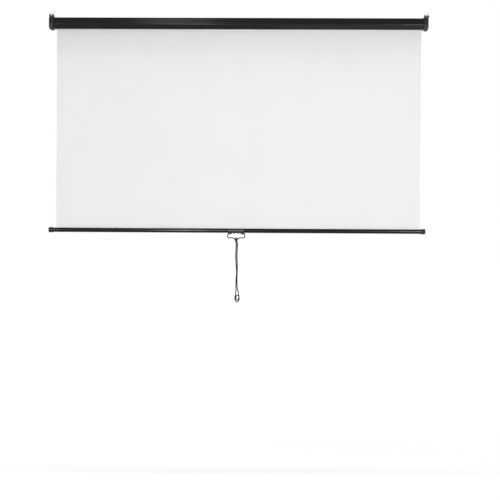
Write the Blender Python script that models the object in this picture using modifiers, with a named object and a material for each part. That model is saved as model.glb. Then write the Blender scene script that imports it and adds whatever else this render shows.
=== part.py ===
"""Pull-down projector screen: steel case, spring roller, white fabric, weight bar, bail and cord.

Metres, +Z up. The screen hangs on a wall whose face is the plane y = 0, and looks towards -Y.
The origin lies on the flat back of the case, halfway along it and halfway up.
"""

from math import asin, atan2, cos, degrees, pi, radians, sin, sqrt, tan

import bmesh
import bpy
from mathutils import Vector
from mathutils.geometry import intersect_point_line

MM = 0.001

# Fit: the clearance between pieces that touch, or that run in one another
GAP = 0.3 * MM

# Fabric
FABRIC_WIDTH = 1550 * MM
FABRIC_THICKNESS = 0.4 * MM
FABRIC_SHIFT = 1.5 * MM
SPARE_WRAP_THICKNESS = 0.7 * MM

# Case, a rolled steel channel with its mouth at the bottom
FABRIC_TO_CAP = 12 * MM
CASE_HEIGHT = 49 * MM
CASE_DEPTH = 52 * MM
CASE_TOP_DEPTH = 41 * MM
CASE_BOTTOM_DEPTH = 45 * MM
CASE_WALL = 1.0 * MM
CREASE_BELOW_TOP = 28 * MM
CREASE_RADIUS = 3 * MM
BACK_BEND_RADIUS = 2 * MM
FRONT_BEND_RADIUS = 4.5 * MM
MOUTH_FROM_WALL = 5 * MM
MOUTH_WIDTH = 16 * MM
MOUTH_LIP_HEIGHT = 4 * MM

# End caps
CAP_LENGTH = 19.5 * MM
CAP_LIP = 1.5 * MM
CAP_DROP = 4.5 * MM
CAP_OVERLAP = 8 * MM
CAP_END_WALL = 3 * MM
CAP_SHOULDER = 2.5 * MM
CAP_TOP_ROUND = 6 * MM
CAP_FRONT_ROUND = (8 * MM, 14 * MM)
CAP_FOOT_ROUND = (11 * MM, 21 * MM)
CAP_NOTCH_INSET = 15 * MM
CAP_NOTCH_WIDTH = 4 * MM
CAP_NOTCH_DEPTH = 2 * MM
BOSS_RADIUS = 8 * MM
TONGUE_REACH = 13 * MM
TONGUE_HEIGHT = 32 * MM
TONGUE_THICKNESS = 6.5 * MM

# Hanging ears on the end caps
EAR_RISE = 20 * MM
EAR_WIDTH = 21 * MM
EAR_THICKNESS = 5 * MM
EAR_OVERHANG = 3.1 * MM
EAR_NECK_INSET = 1.2 * MM
EAR_ARCH_RISE = 14 * MM
EAR_FOOT_REACH = 8 * MM
EAR_HOLE_WIDTH = 10 * MM
EAR_HOLE_HEIGHT = 5.4 * MM
EAR_HOLE_RISE = 15.6 * MM

# Countersunk screws that hold the end caps
SCREW_SHANK_RADIUS = 1.4 * MM
SCREW_HEAD_RADIUS = 2.8 * MM
SCREW_HEAD_HEIGHT = 1.5 * MM
SCREW_LENGTH = 7 * MM
SCREW_SPACING = 22 * MM
SCREW_FROM_CASE_END = 6 * MM

# Roller
ROLLER_FROM_WALL = 27 * MM
ROLLER_RADIUS = 12.5 * MM
ROLLER_WALL = 1.0 * MM
FLANGE_LENGTH = 3 * MM
SPRING_PLUG_LENGTH = 22 * MM
IDLER_PLUG_LENGTH = 20 * MM
IDLER_PIN_RADIUS = 3 * MM
IDLER_PIN_REACH = 14 * MM
SOCKET_DEPTH = 7 * MM

# Spring arbor: tenon, notched collar, rod and spring anchor
ARBOR_RADIUS = 3 * MM
ARBOR_LENGTH = 300 * MM
TENON_WIDTH = 3 * MM
TENON_HEIGHT = 5 * MM
COLLAR_RADIUS = 5.6 * MM
COLLAR_LENGTH = 5 * MM
COLLAR_NOTCH_WIDTH = 3.4 * MM
COLLAR_NOTCH_DEPTH = 1.6 * MM
SPRING_SEAT_RADIUS = 5.6 * MM
PLUG_NOSE_LENGTH = 12 * MM
ANCHOR_LENGTH = 8 * MM

# Torsion spring
SPRING_WIRE_RADIUS = 0.8 * MM
SPRING_TURNS = 24

# Pawls that drop into the collar's notches
PAWL_THICKNESS = 3 * MM
PAWL_EYE_RADIUS = 2.4 * MM
PAWL_ARM_WIDTH = 2.6 * MM
PAWL_PIVOT = (-6.5 * MM, 7.0 * MM)
PAWL_TIP_OFFSET = 1.5 * MM
PAWL_TIP_RISE = 0.9 * MM
PAWL_OPENING = radians(25)
PAWL_PIN_RADIUS = 1.0 * MM
PAWL_PIN_HEAD_RADIUS = 1.8 * MM
PAWL_PIN_HEAD_HEIGHT = 0.7 * MM
PAWL_EYE_FILLET = 8
PAWL_PIN_GRIP = 2.2 * MM

# Weight bar
BAR_DROP = 878.8 * MM
FABRIC_TO_BAR_CAP_LEFT = 11 * MM
FABRIC_TO_BAR_CAP_RIGHT = 1 * MM
BAR_RADIUS = 9.4 * MM
BAR_WALL = 1.2 * MM
BAR_SLOT_WIDTH = 3 * MM
HEM_ROD_RADIUS = 2.75 * MM

# Weight bar's end caps
BAR_CAP_RADIUS = 11.4 * MM
BAR_CAP_LENGTH = 22 * MM
BAR_CAP_DOME = 5 * MM
BAR_CAP_SOCKET_DEPTH = 14 * MM
BAR_CAP_GROOVE_INSET = 13 * MM
BAR_CAP_GROOVE_WIDTH = 1.2 * MM
BAR_CAP_GROOVE_DEPTH = 0.8 * MM
BAR_CAP_COLLAR_RADIUS = 10.9 * MM
BAR_CAP_RIM_RADIUS = 10.3 * MM
BAR_CAP_CHAMFER = 2.5 * MM

# Handle clip on the weight bar
HANDLE_SHIFT = -1.0 * MM
CLIP_LENGTH = 67 * MM
CLIP_WALL = 1.0 * MM
CLIP_MOUTH = radians(100)
LUG_LENGTH = 13 * MM
LUG_RADIUS = 3.0 * MM
LUG_SINK = 0.1 * MM
SKIRT_THICKNESS = 2 * MM
SKIRT_ARCH_RISE = 3.2 * MM
SKIRT_TOOTH_DROP = 4.7 * MM
SKIRT_TOOTH_OFFSET = 8.6 * MM
SKIRT_TOOTH_WIDTH = 1.8 * MM
RIVET_SPACING = 40 * MM
RIVET_RADIUS = 1.2 * MM
RIVET_HEAD_RADIUS = 2.4 * MM
RIVET_HEAD_HEIGHT = 1.1 * MM

# Wire bail
BAIL_WIRE_RADIUS = 2.2 * MM
BAIL_SIDE_OFFSET = 36.1 * MM
BAIL_DROP = 17.6 * MM
BAIL_DIP_HALF_WIDTH = 15.5 * MM
BAIL_DIP_DEPTH = 7.0 * MM
BAIL_SHOULDER_RADIUS = 2.7 * MM
BAIL_CORNER_RADIUS = 5 * MM
BAIL_DIP_RADIUS = 6 * MM
BAIL_APEX_RADIUS = 4 * MM

# Pull cord, an endless loop hitched round the bail's dip
CORD_RADIUS = 2.25 * MM
HITCH_OFFSET = 4.6 * MM
HITCH_TURN_STEP = 45
STRAND_TOP = 16 * MM
STRAND_BOTTOM = 200 * MM
STRAND_STEPS = 20
STRAND_SPREAD = 2.5 * MM
STRAND_SHIFT = 1.5 * MM
STRAND_DRIFT = 1.6 * MM
STRAND_SWAY = 1.0 * MM
SWAY_FIRST_LEFT = 73 * MM
SWAY_HALF_PERIOD = 57 * MM
STRAND_TURN = radians(62)
TURN_FROM = 100 * MM
TURN_TO = 196 * MM

# The hitch's right half, in millimetres from the dip's lowest point: across, back and up
HITCH_BIGHT = ((0.35, -3.4, -4.6), (2.6, -3.8, -3.8), (4.7, -4.0, -1.2))
HITCH_TAIL = ((3.6, 3.5, -2.8), (2.7, 2.4, -8.0))

# The curl at the cord's foot, measured the same way, from the left strand round to the right one
CORD_CURL = (
    (0.2, -2.6, -214.0),
    (-1.4, -3.4, -232.0),
    (-4.2, -3.0, -248.5),
    (-2.2, -2.6, -260.4),
    (3.8, -2.0, -265.9),
    (10.6, -1.2, -261.5),
    (13.7, 0.4, -250.5),
    (11.0, 2.0, -240.8),
    (5.2, 3.2, -237.8),
    (0.2, 4.4, -242.6),
    (-0.6, 5.4, -250.8),
    (3.8, 6.4, -257.0),
    (9.4, 7.2, -256.2),
    (12.4, 7.8, -247.6),
    (10.2, 7.0, -229.0),
    (6.5, 3.6, -211.0),
)
CURL_STEPS_PER_SPAN = 2

# Smoothness of round shapes
BEND_STEPS = 4
ROUND_STEPS = 32
SMALL_ROUND_STEPS = 16
COIL_STEPS = 10

# Places worked out from the sizes above
CASE_TOP = CASE_HEIGHT / 2
OVERALL_LENGTH = FABRIC_WIDTH + 2 * (FABRIC_TO_CAP + CAP_LENGTH)
HALF_LENGTH = OVERALL_LENGTH / 2
CAP_INNER = HALF_LENGTH - CAP_LENGTH
CAP_SEAT = CAP_INNER + CAP_OVERLAP
CASE_END = CAP_SEAT - GAP
TENON_REACH = SOCKET_DEPTH - GAP
ROLLER_CENTRE = (-ROLLER_FROM_WALL, 0.0)
COLLAR_INNER = CAP_SEAT - GAP - COLLAR_LENGTH
SPRING_FLANGE_OUTER = COLLAR_INNER - GAP
IDLER_FLANGE_OUTER = CAP_SEAT - GAP
PAWL_INNER = SPRING_FLANGE_OUTER + GAP
PAWL_OUTER = PAWL_INNER + PAWL_THICKNESS
SPRING_TUBE_END = SPRING_FLANGE_OUTER - FLANGE_LENGTH - GAP
IDLER_TUBE_END = IDLER_FLANGE_OUTER - FLANGE_LENGTH - GAP
PLUG_RADIUS = ROLLER_RADIUS - ROLLER_WALL - GAP
WRAP_RADIUS = ROLLER_RADIUS + GAP + SPARE_WRAP_THICKNESS
FABRIC_FROM_WALL = ROLLER_FROM_WALL - WRAP_RADIUS - GAP - FABRIC_THICKNESS / 2
BAR_LENGTH = FABRIC_WIDTH + FABRIC_TO_BAR_CAP_LEFT + FABRIC_TO_BAR_CAP_RIGHT + 2 * BAR_CAP_LENGTH
BAR_MIDDLE = FABRIC_SHIFT + (FABRIC_TO_BAR_CAP_RIGHT - FABRIC_TO_BAR_CAP_LEFT) / 2
BAR_CENTRE = (-FABRIC_FROM_WALL, -BAR_DROP)
HANDLE_MIDDLE = BAR_MIDDLE + HANDLE_SHIFT
CLIP_INNER_RADIUS = BAR_RADIUS + GAP
LUG_CENTRE = (BAR_CENTRE[0], BAR_CENTRE[1] - CLIP_INNER_RADIUS - LUG_SINK - LUG_RADIUS)

# Finishes: colour, metallic, roughness
FINISHES = {
    "black_painted_steel": ((0.020, 0.020, 0.021), 0.0, 0.42),
    "black_plastic": ((0.018, 0.018, 0.019), 0.0, 0.50),
    "white_fabric": ((0.86, 0.86, 0.86), 0.0, 0.90),
    "zinc_steel": ((0.55, 0.55, 0.56), 1.0, 0.38),
    "spring_steel": ((0.30, 0.30, 0.31), 1.0, 0.35),
    "grey_plastic": ((0.35, 0.35, 0.36), 0.0, 0.55),
    "grey_painted_steel": ((0.10, 0.10, 0.105), 0.6, 0.40),
    "black_wire": ((0.015, 0.015, 0.016), 0.3, 0.40),
    "black_cord": ((0.010, 0.010, 0.010), 0.0, 0.90),
}

# How a flat outline is turned so that its thickness runs along X, Y or Z
TURN_FOR_NORMAL = {
    "X": (radians(90), 0, radians(90)),
    "Y": (radians(90), 0, 0),
    "Z": (0, 0, 0),
}


def clear_scene():
    """Remove every object, and start one collection for the parts and one for the cutters."""
    for item in list(bpy.data.objects):
        bpy.data.objects.remove(item, do_unlink=True)
    collections = {}
    for name in ("projector_screen", "cutters"):
        collections[name] = bpy.data.collections.new(name)
        bpy.context.scene.collection.children.link(collections[name])
    return collections


COLLECTIONS = clear_scene()


def finish(name):
    """Return the Principled material of that name, making it on first use."""
    if name in bpy.data.materials:
        return bpy.data.materials[name]
    colour, metallic, roughness = FINISHES[name]
    material = bpy.data.materials.new(name)
    material.use_nodes = True
    shader = material.node_tree.nodes["Principled BSDF"]
    shader.inputs["Base Color"].default_value = (*colour, 1)
    shader.inputs["Metallic"].default_value = metallic
    shader.inputs["Roughness"].default_value = roughness
    return material


def as_part(piece, material):
    """Put a piece among the parts with its material."""
    for collection in list(piece.users_collection):
        collection.objects.unlink(piece)
    COLLECTIONS["projector_screen"].objects.link(piece)
    piece.data.materials.clear()
    piece.data.materials.append(finish(material))
    return piece


def as_cutter(piece):
    """Put a piece among the cutters, out of the render."""
    for collection in list(piece.users_collection):
        collection.objects.unlink(piece)
    COLLECTIONS["cutters"].objects.link(piece)
    piece.hide_render = True
    piece.display_type = "WIRE"
    return piece


def combine(piece, other, operation):
    """Cut, join or intersect a piece with another one, which becomes a guide."""
    as_cutter(other)
    boolean = piece.modifiers.new(other.name, "BOOLEAN")
    boolean.operation = operation
    boolean.object = other


def cut(piece, *cutters):
    for cutter in cutters:
        combine(piece, cutter, "DIFFERENCE")


def join(piece, *others):
    for other in others:
        combine(piece, other, "UNION")


def arc(centre, size, start, end, steps):
    """Points on an ellipse's arc, from start to end degrees, anticlockwise from the first axis."""
    points = []
    for step in range(steps + 1):
        angle = radians(start + (end - start) * step / steps)
        points.append((centre[0] + size[0] * cos(angle), centre[1] + size[1] * sin(angle)))
    return points


def circle(centre, radius, steps):
    return arc(centre, (radius, radius), 0, 360, steps)[:-1]


def rounded(corners, closed, steps=BEND_STEPS):
    """Round the corners of an outline, given as (first, second, radius) for each corner."""
    points = []
    count = len(corners)
    for index, (first, second, radius) in enumerate(corners):
        here = Vector((first, second))
        is_end = not closed and index in (0, count - 1)
        if is_end or radius == 0:
            points.append(tuple(here))
            continue
        before = (Vector(corners[index - 1][:2]) - here).normalized()
        after = (Vector(corners[(index + 1) % count][:2]) - here).normalized()
        half_angle = before.angle(after) / 2
        centre = here + (before + after).normalized() * radius / sin(half_angle)
        start = here + before * radius / tan(half_angle) - centre
        sweep = pi - 2 * half_angle
        turn = -1 if before.x * after.y - before.y * after.x > 0 else 1
        first_angle = atan2(start.y, start.x)
        for step in range(steps + 1):
            angle = first_angle + turn * sweep * step / steps
            points.append((centre.x + radius * cos(angle), centre.y + radius * sin(angle)))
    return points


def new_object(name, data):
    piece = bpy.data.objects.new(name, data)
    COLLECTIONS["projector_screen"].objects.link(piece)
    return piece


def slab(name, outlines, low, high, normal):
    """Fill the first flat outline, less the holes that follow it, and give it a thickness."""
    curve = bpy.data.curves.new(name, "CURVE")
    curve.dimensions = "2D"
    curve.fill_mode = "BOTH"
    curve.extrude = (high - low) / 2
    for outline in outlines:
        spline = curve.splines.new("POLY")
        spline.points.add(len(outline) - 1)
        for point, (first, second) in zip(spline.points, outline):
            point.co = (first, second, 0, 1)
        spline.use_cyclic_u = True
    guide = new_object(name, curve)
    guide.rotation_euler = TURN_FOR_NORMAL[normal]
    guide.location["XYZ".index(normal)] = (low + high) / 2
    return curve_to_mesh(guide)


def curve_to_mesh(guide):
    """Swap a curve object for a mesh object of the same shape, with its caps welded on."""
    bpy.context.view_layer.update()
    evaluated = guide.evaluated_get(bpy.context.evaluated_depsgraph_get())
    mesh = bpy.data.meshes.new_from_object(evaluated)
    shape = bmesh.new()
    shape.from_mesh(mesh)
    bmesh.ops.remove_doubles(shape, verts=shape.verts, dist=0.001 * MM)
    bmesh.ops.recalc_face_normals(shape, faces=shape.faces)
    shape.to_mesh(mesh)
    shape.free()
    name = guide.name
    place = guide.matrix_world.copy()
    bpy.data.objects.remove(guide, do_unlink=True)
    solid = new_object(name, mesh)
    solid.matrix_world = place
    return solid


def box(name, low, high):
    """A box between two opposite corners."""
    shape = bmesh.new()
    bmesh.ops.create_cube(shape, size=1)
    size = Vector(high) - Vector(low)
    bmesh.ops.scale(shape, vec=size, verts=shape.verts)
    mesh = bpy.data.meshes.new(name)
    shape.to_mesh(mesh)
    shape.free()
    piece = new_object(name, mesh)
    piece.location = (Vector(low) + Vector(high)) / 2
    return piece


def turned(name, profile, place, axis="X", ring=False, steps=ROUND_STEPS):
    """Spin a profile of (radius, distance) points, listed from the far end to the near end.

    The distances run along the axis from place. A ring's profile closes on itself.
    """
    mesh = bpy.data.meshes.new(name)
    shape = bmesh.new()
    verts = [shape.verts.new((radius, 0, distance)) for radius, distance in profile]
    for first, second in zip(verts, verts[1:]):
        shape.edges.new((first, second))
    if ring:
        shape.edges.new((verts[-1], verts[0]))
    shape.to_mesh(mesh)
    shape.free()
    piece = new_object(name, mesh)
    piece.location = place
    if axis == "X":
        piece.rotation_euler = (0, radians(90), 0)
    elif axis == "Y":
        piece.rotation_euler = (radians(-90), 0, 0)
    spin = piece.modifiers.new("spin", "SCREW")
    spin.angle = 2 * pi
    spin.steps = steps
    spin.render_steps = steps
    spin.use_merge_vertices = True
    spin.merge_threshold = 0.01 * MM
    return piece


def rod(name, radius, low, high, place, axis="X", steps=SMALL_ROUND_STEPS):
    """A plain cylinder from low to high along the axis through place."""
    mesh = bpy.data.meshes.new(name)
    shape = bmesh.new()
    bmesh.ops.create_cone(shape, cap_ends=True, segments=steps, radius1=radius, radius2=radius,
                          depth=high - low)
    shape.to_mesh(mesh)
    shape.free()
    piece = new_object(name, mesh)
    piece.rotation_euler = TURN_FOR_NORMAL[axis]
    piece.location = place
    piece.location["XYZ".index(axis)] += (low + high) / 2
    return piece


def channel(name, path, low, high, wall):
    """Draw a bent strip of sheet along X. The path is its outer face, and the wall grows inwards."""
    mesh = bpy.data.meshes.new(name)
    shape = bmesh.new()
    verts = [shape.verts.new((low, y, z)) for y, z in path]
    for first, second in zip(verts, verts[1:]):
        shape.edges.new((first, second))
    grown = bmesh.ops.extrude_edge_only(shape, edges=shape.edges)
    moved = [item for item in grown["geom"] if isinstance(item, bmesh.types.BMVert)]
    bmesh.ops.translate(shape, vec=(high - low, 0, 0), verts=moved)
    outward = Vector((0, path[1][1] - path[0][1], path[0][0] - path[1][0]))
    shape.normal_update()
    if verts[0].link_faces[0].normal.dot(outward) < 0:
        bmesh.ops.reverse_faces(shape, faces=shape.faces)
    shape.to_mesh(mesh)
    shape.free()
    piece = new_object(name, mesh)
    sheet = piece.modifiers.new("sheet", "SOLIDIFY")
    sheet.thickness = wall
    sheet.offset = -1
    sheet.use_even_offset = True
    return piece


def wire(name, points, radius, place, resolution=2):
    """A round wire through the points, with flat ends. Its object origin is at place."""
    curve = bpy.data.curves.new(name, "CURVE")
    curve.dimensions = "3D"
    curve.bevel_depth = radius
    curve.bevel_resolution = resolution
    curve.use_fill_caps = True
    spline = curve.splines.new("POLY")
    spline.points.add(len(points) - 1)
    for point, here in zip(spline.points, points):
        point.co = (*(Vector(here) - Vector(place)), 1)
    piece = new_object(name, curve)
    piece.location = place
    return piece


def section(back, grow, drop):
    """The case's outline, seen from its right end, grown outwards at the top and front.

    It runs up the back, forwards over the top, down the front and back along the bottom.
    """
    top = CASE_TOP + grow
    bottom = -CASE_TOP - drop
    return [
        (back, bottom, BACK_BEND_RADIUS),
        (back, top, BACK_BEND_RADIUS),
        (-CASE_TOP_DEPTH - grow, top, FRONT_BEND_RADIUS),
        (-CASE_DEPTH - grow, CASE_TOP - CREASE_BELOW_TOP, CREASE_RADIUS),
        (-CASE_BOTTOM_DEPTH - grow, bottom, FRONT_BEND_RADIUS),
    ]


def screw_places(side):
    """Where the two screws of one end cap enter the back of the case."""
    across = side * (CASE_END - SCREW_FROM_CASE_END)
    return [(across, SCREW_SPACING / 2), (across, -SCREW_SPACING / 2)]


def screw_cutter(name, across, up):
    """The hole and countersink for one cap screw, cut from the back."""
    head = SCREW_HEAD_RADIUS + GAP
    shank = SCREW_SHANK_RADIUS + GAP
    profile = [
        (0, GAP),
        (head, GAP),
        (head, 0),
        (shank, -SCREW_HEAD_HEIGHT - GAP),
        (shank, -SCREW_LENGTH - 2 * GAP),
        (0, -SCREW_LENGTH - 2 * GAP),
    ]
    return turned(name, profile, (across, 0, up), axis="Y", steps=SMALL_ROUND_STEPS)


def make_case():
    """The rolled steel case, open along its mouth, with holes for the cap screws."""
    bottom = -CASE_TOP
    mouth_rear = -MOUTH_FROM_WALL
    mouth_front = -MOUTH_FROM_WALL - MOUTH_WIDTH
    corners = [(mouth_rear, bottom + MOUTH_LIP_HEIGHT, 0), (mouth_rear, bottom, BACK_BEND_RADIUS)]
    corners += section(0, 0, 0)
    corners += [(mouth_front, bottom, BACK_BEND_RADIUS), (mouth_front, bottom + MOUTH_LIP_HEIGHT, 0)]
    case = channel("case_shell", rounded(corners, closed=False), -CASE_END, CASE_END, CASE_WALL)
    for side in (-1, 1):
        for number, (across, up) in enumerate(screw_places(side)):
            cut(case, screw_cutter(f"case_hole_{side}_{number}", across, up))
    return as_part(case, "black_painted_steel")


def ear_outline(side):
    """The hanging ear's outline across and up: an overhanging side, an arched top and a gusset."""
    spring = CASE_TOP + EAR_ARCH_RISE
    middle = EAR_WIDTH / 2 - EAR_OVERHANG
    inner = EAR_WIDTH - EAR_OVERHANG
    foot = CAP_LENGTH + EAR_FOOT_REACH
    foot_bottom = CASE_TOP + CAP_LIP / 2
    root = CASE_TOP - CAP_SHOULDER / 2
    root_inset = CAP_LENGTH - CAP_OVERLAP - CAP_LIP
    points = [(EAR_NECK_INSET, root), (EAR_NECK_INSET, CASE_TOP + CAP_LIP)]
    points += [(-EAR_OVERHANG, CASE_TOP + EAR_ARCH_RISE / 2)]
    points += arc((middle, spring), (EAR_WIDTH / 2, EAR_RISE - EAR_ARCH_RISE), 180, 0, 12)
    points += arc((foot, spring), (foot - inner, EAR_ARCH_RISE - CAP_LIP), 180, 270, 6)[1:]
    points += [(foot, foot_bottom), (root_inset, foot_bottom), (root_inset, root)]
    return [(side * (HALF_LENGTH - inset), rise) for inset, rise in points]


def foot_outline(side):
    """The end cap seen from the front: round at the outer corners, notched across the bottom."""
    top = CASE_TOP + CAP_LIP
    bottom = -CASE_TOP - CAP_DROP
    beyond = CAP_LENGTH + CAP_LIP
    under = bottom - CAP_LIP
    half_notch = CAP_NOTCH_WIDTH / 2 * (CAP_NOTCH_DEPTH + CAP_LIP) / CAP_NOTCH_DEPTH
    points = [(beyond, top + CAP_LIP)]
    points += arc((CAP_TOP_ROUND, top - CAP_TOP_ROUND), (CAP_TOP_ROUND, CAP_TOP_ROUND), 90, 180, 6)
    across, up = CAP_FOOT_ROUND
    points += arc((across, bottom + up), (across, up), 180, 270, 10)
    points += [
        (across, under),
        (CAP_NOTCH_INSET - half_notch, under),
        (CAP_NOTCH_INSET, bottom + CAP_NOTCH_DEPTH),
        (CAP_NOTCH_INSET + half_notch, under),
        (beyond, under),
    ]
    return [(side * (HALF_LENGTH - inset), rise) for inset, rise in points]


def plan_outline(side):
    """The end cap seen from above: round at its outer front corner."""
    front = -CASE_DEPTH - CAP_LIP
    across, back = CAP_FRONT_ROUND
    points = [(CAP_LENGTH + CAP_LIP, CAP_LIP), (0, CAP_LIP)]
    points += arc((across, front + back), (across, back), 180, 270, 8)
    points += [(CAP_LENGTH + CAP_LIP, front)]
    return [(side * (HALF_LENGTH - inset), depth) for inset, depth in points]


def span(side, inner, outer):
    """Low and high X between two distances from the middle, on one side."""
    return sorted((side * inner, side * outer))


def make_end_cap(side, name):
    """A moulded end cap: domed head, pocket for the case, bearing boss, screw tongue and ear."""
    head = slab(name, [rounded(section(0, CAP_LIP, CAP_DROP), True)],
                *span(side, CAP_INNER, HALF_LENGTH), "X")
    reach = CASE_DEPTH + 2 * CAP_LIP
    combine(head, slab(name + "_foot", [foot_outline(side)], -reach, CAP_LIP, "Y"), "INTERSECT")
    combine(head, slab(name + "_plan", [plan_outline(side)], -CASE_HEIGHT, CASE_HEIGHT, "Z"),
            "INTERSECT")

    mouth = CAP_INNER - CAP_LIP
    pocket = slab(name + "_pocket", [rounded(section(GAP, GAP, GAP), True)],
                  *span(side, mouth, CAP_SEAT), "X")
    inset = -CAP_SHOULDER
    hollow = slab(name + "_hollow", [rounded(section(inset - CAP_LIP, inset, inset), True)],
                  *span(side, mouth, HALF_LENGTH - CAP_END_WALL), "X")
    cut(head, pocket, hollow)

    root = HALF_LENGTH - CAP_END_WALL / 2
    boss_place = (0, *ROLLER_CENTRE)
    boss = rod(name + "_boss", BOSS_RADIUS, *span(side, CAP_SEAT, root), boss_place)
    tongue_back = -CASE_WALL - GAP
    x_low, x_high = span(side, CASE_END - TONGUE_REACH, root)
    tongue = box(name + "_tongue", (x_low, tongue_back - TONGUE_THICKNESS, -TONGUE_HEIGHT / 2),
                 (x_high, tongue_back, TONGUE_HEIGHT / 2))
    hole_place = (side * (HALF_LENGTH + EAR_OVERHANG - EAR_WIDTH / 2), CASE_TOP + EAR_HOLE_RISE)
    hole = arc(hole_place, (EAR_HOLE_WIDTH / 2, EAR_HOLE_HEIGHT / 2), 0, 360, SMALL_ROUND_STEPS)[:-1]
    ear = slab(name + "_ear", [ear_outline(side), hole], -EAR_THICKNESS, 0, "Y")
    join(head, boss, tongue, ear)

    socket = span(side, CAP_SEAT - GAP, CAP_SEAT + SOCKET_DEPTH)
    if side < 0:
        half_width = TENON_WIDTH / 2 + GAP
        half_height = TENON_HEIGHT / 2 + GAP
        cut(head, box(name + "_socket", (socket[0], -ROLLER_FROM_WALL - half_width, -half_height),
                      (socket[1], -ROLLER_FROM_WALL + half_width, half_height)))
    else:
        cut(head, rod(name + "_socket", IDLER_PIN_RADIUS + GAP, *socket, boss_place))
    for number, (across, up) in enumerate(screw_places(side)):
        cut(head, screw_cutter(f"{name}_hole_{number}", across, up))
    return as_part(head, "black_plastic")


def make_cap_screw(name, across, up):
    """A countersunk screw whose head lies just under the back face."""
    tip = SCREW_LENGTH - SCREW_SHANK_RADIUS
    profile = [
        (0, -GAP),
        (SCREW_HEAD_RADIUS, -GAP),
        (SCREW_SHANK_RADIUS, -SCREW_HEAD_HEIGHT - GAP),
        (SCREW_SHANK_RADIUS, -tip),
        (0, -SCREW_LENGTH),
    ]
    screw = turned(name, profile, (across, 0, up), axis="Y", steps=SMALL_ROUND_STEPS)
    return as_part(screw, "zinc_steel")


def make_roller_tube():
    inner = ROLLER_RADIUS - ROLLER_WALL
    ends = (-SPRING_TUBE_END, IDLER_TUBE_END)
    profile = [(ROLLER_RADIUS, ends[1]), (ROLLER_RADIUS, ends[0]), (inner, ends[0]), (inner, ends[1])]
    return as_part(turned("roller_tube", profile, (0, *ROLLER_CENTRE), ring=True), "zinc_steel")


def make_spare_wrap():
    """The last turns of fabric that stay on the roller when the screen is down."""
    inner = ROLLER_RADIUS + GAP
    half = FABRIC_WIDTH / 2
    profile = [(WRAP_RADIUS, half), (WRAP_RADIUS, -half), (inner, -half), (inner, half)]
    wrap = turned("fabric_wrap", profile, (FABRIC_SHIFT, *ROLLER_CENTRE), ring=True)
    return as_part(wrap, "white_fabric")


def pawl_pivots():
    """Where the two pawls turn, across from one another on the spring plug's flange."""
    y, z = ROLLER_CENTRE
    return {
        "upper": (y + PAWL_PIVOT[0], z + PAWL_PIVOT[1]),
        "lower": (y - PAWL_PIVOT[0], z - PAWL_PIVOT[1]),
    }


def make_spring_plug():
    """The plug at the roller's spring end: flange, body, nose for the spring, and bore."""
    bore = ARBOR_RADIUS + GAP
    outer = -SPRING_FLANGE_OUTER
    seat = outer + FLANGE_LENGTH
    body = seat + SPRING_PLUG_LENGTH
    nose = body + PLUG_NOSE_LENGTH
    profile = [
        (SPRING_SEAT_RADIUS, nose),
        (SPRING_SEAT_RADIUS, body),
        (PLUG_RADIUS, body),
        (PLUG_RADIUS, seat),
        (ROLLER_RADIUS, seat),
        (ROLLER_RADIUS, outer),
        (bore, outer),
        (bore, nose),
    ]
    plug = turned("spring_plug", profile, (0, *ROLLER_CENTRE), ring=True)
    for label, pivot in pawl_pivots().items():
        depth = outer + PAWL_PIN_GRIP + GAP
        cut(plug, rod(f"pawl_pin_hole_{label}", PAWL_PIN_RADIUS + GAP, outer - GAP, depth, (0, *pivot)))
    return as_part(plug, "grey_plastic")


def make_arbor():
    """The arbor that the left cap holds still: tenon, notched collar, rod and spring anchor."""
    shoulder = -CAP_SEAT + GAP
    collar = shoulder + COLLAR_LENGTH
    anchor = shoulder + ARBOR_LENGTH
    profile = [
        (0, anchor + ANCHOR_LENGTH),
        (SPRING_SEAT_RADIUS, anchor + ANCHOR_LENGTH),
        (SPRING_SEAT_RADIUS, anchor),
        (ARBOR_RADIUS, anchor),
        (ARBOR_RADIUS, collar),
        (COLLAR_RADIUS, collar),
        (COLLAR_RADIUS, shoulder),
        (0, shoulder),
    ]
    arbor = turned("spring_arbor", profile, (0, *ROLLER_CENTRE))
    y, z = ROLLER_CENTRE
    half_width = TENON_WIDTH / 2
    half_height = TENON_HEIGHT / 2
    tenon = box("arbor_tenon", (-CAP_SEAT - TENON_REACH, y - half_width, z - half_height),
                (shoulder + COLLAR_LENGTH / 2, y + half_width, z + half_height))
    join(arbor, tenon)
    floor = COLLAR_RADIUS - COLLAR_NOTCH_DEPTH
    for label, low, high in (("top", floor, ROLLER_RADIUS), ("bottom", -ROLLER_RADIUS, -floor)):
        cut(arbor, box(f"collar_notch_{label}",
                       (shoulder - GAP, y - COLLAR_NOTCH_WIDTH / 2, z + low),
                       (collar + GAP, y + COLLAR_NOTCH_WIDTH / 2, z + high)))
    return as_part(arbor, "zinc_steel")


def make_torsion_spring():
    """The spring round the arbor, from the plug's nose to the anchor, running square to both."""
    start = -SPRING_FLANGE_OUTER + FLANGE_LENGTH + SPRING_PLUG_LENGTH + GAP
    end = -CAP_SEAT + GAP + ARBOR_LENGTH + ANCHOR_LENGTH
    radius = SPRING_SEAT_RADIUS + GAP + SPRING_WIRE_RADIUS
    lead = 2 * SPRING_WIRE_RADIUS
    y, z = ROLLER_CENTRE
    points = [Vector((start, y, z + radius))]
    for step in range(SPRING_TURNS * COIL_STEPS + 1):
        turn = 2 * pi * step / COIL_STEPS
        along = start + lead + (end - start - 2 * lead) * step / (SPRING_TURNS * COIL_STEPS)
        points.append(Vector((along, y - radius * sin(turn), z + radius * cos(turn))))
    points.append(Vector((end, y, z + radius)))
    gap = least_gap(points, SPRING_WIRE_RADIUS)
    print("torsion_spring's least gap to itself, in mm:", round(gap / MM, 2))
    spring = wire("torsion_spring", points, SPRING_WIRE_RADIUS, (0, *ROLLER_CENTRE), resolution=1)
    return as_part(spring, "spring_steel")


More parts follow.
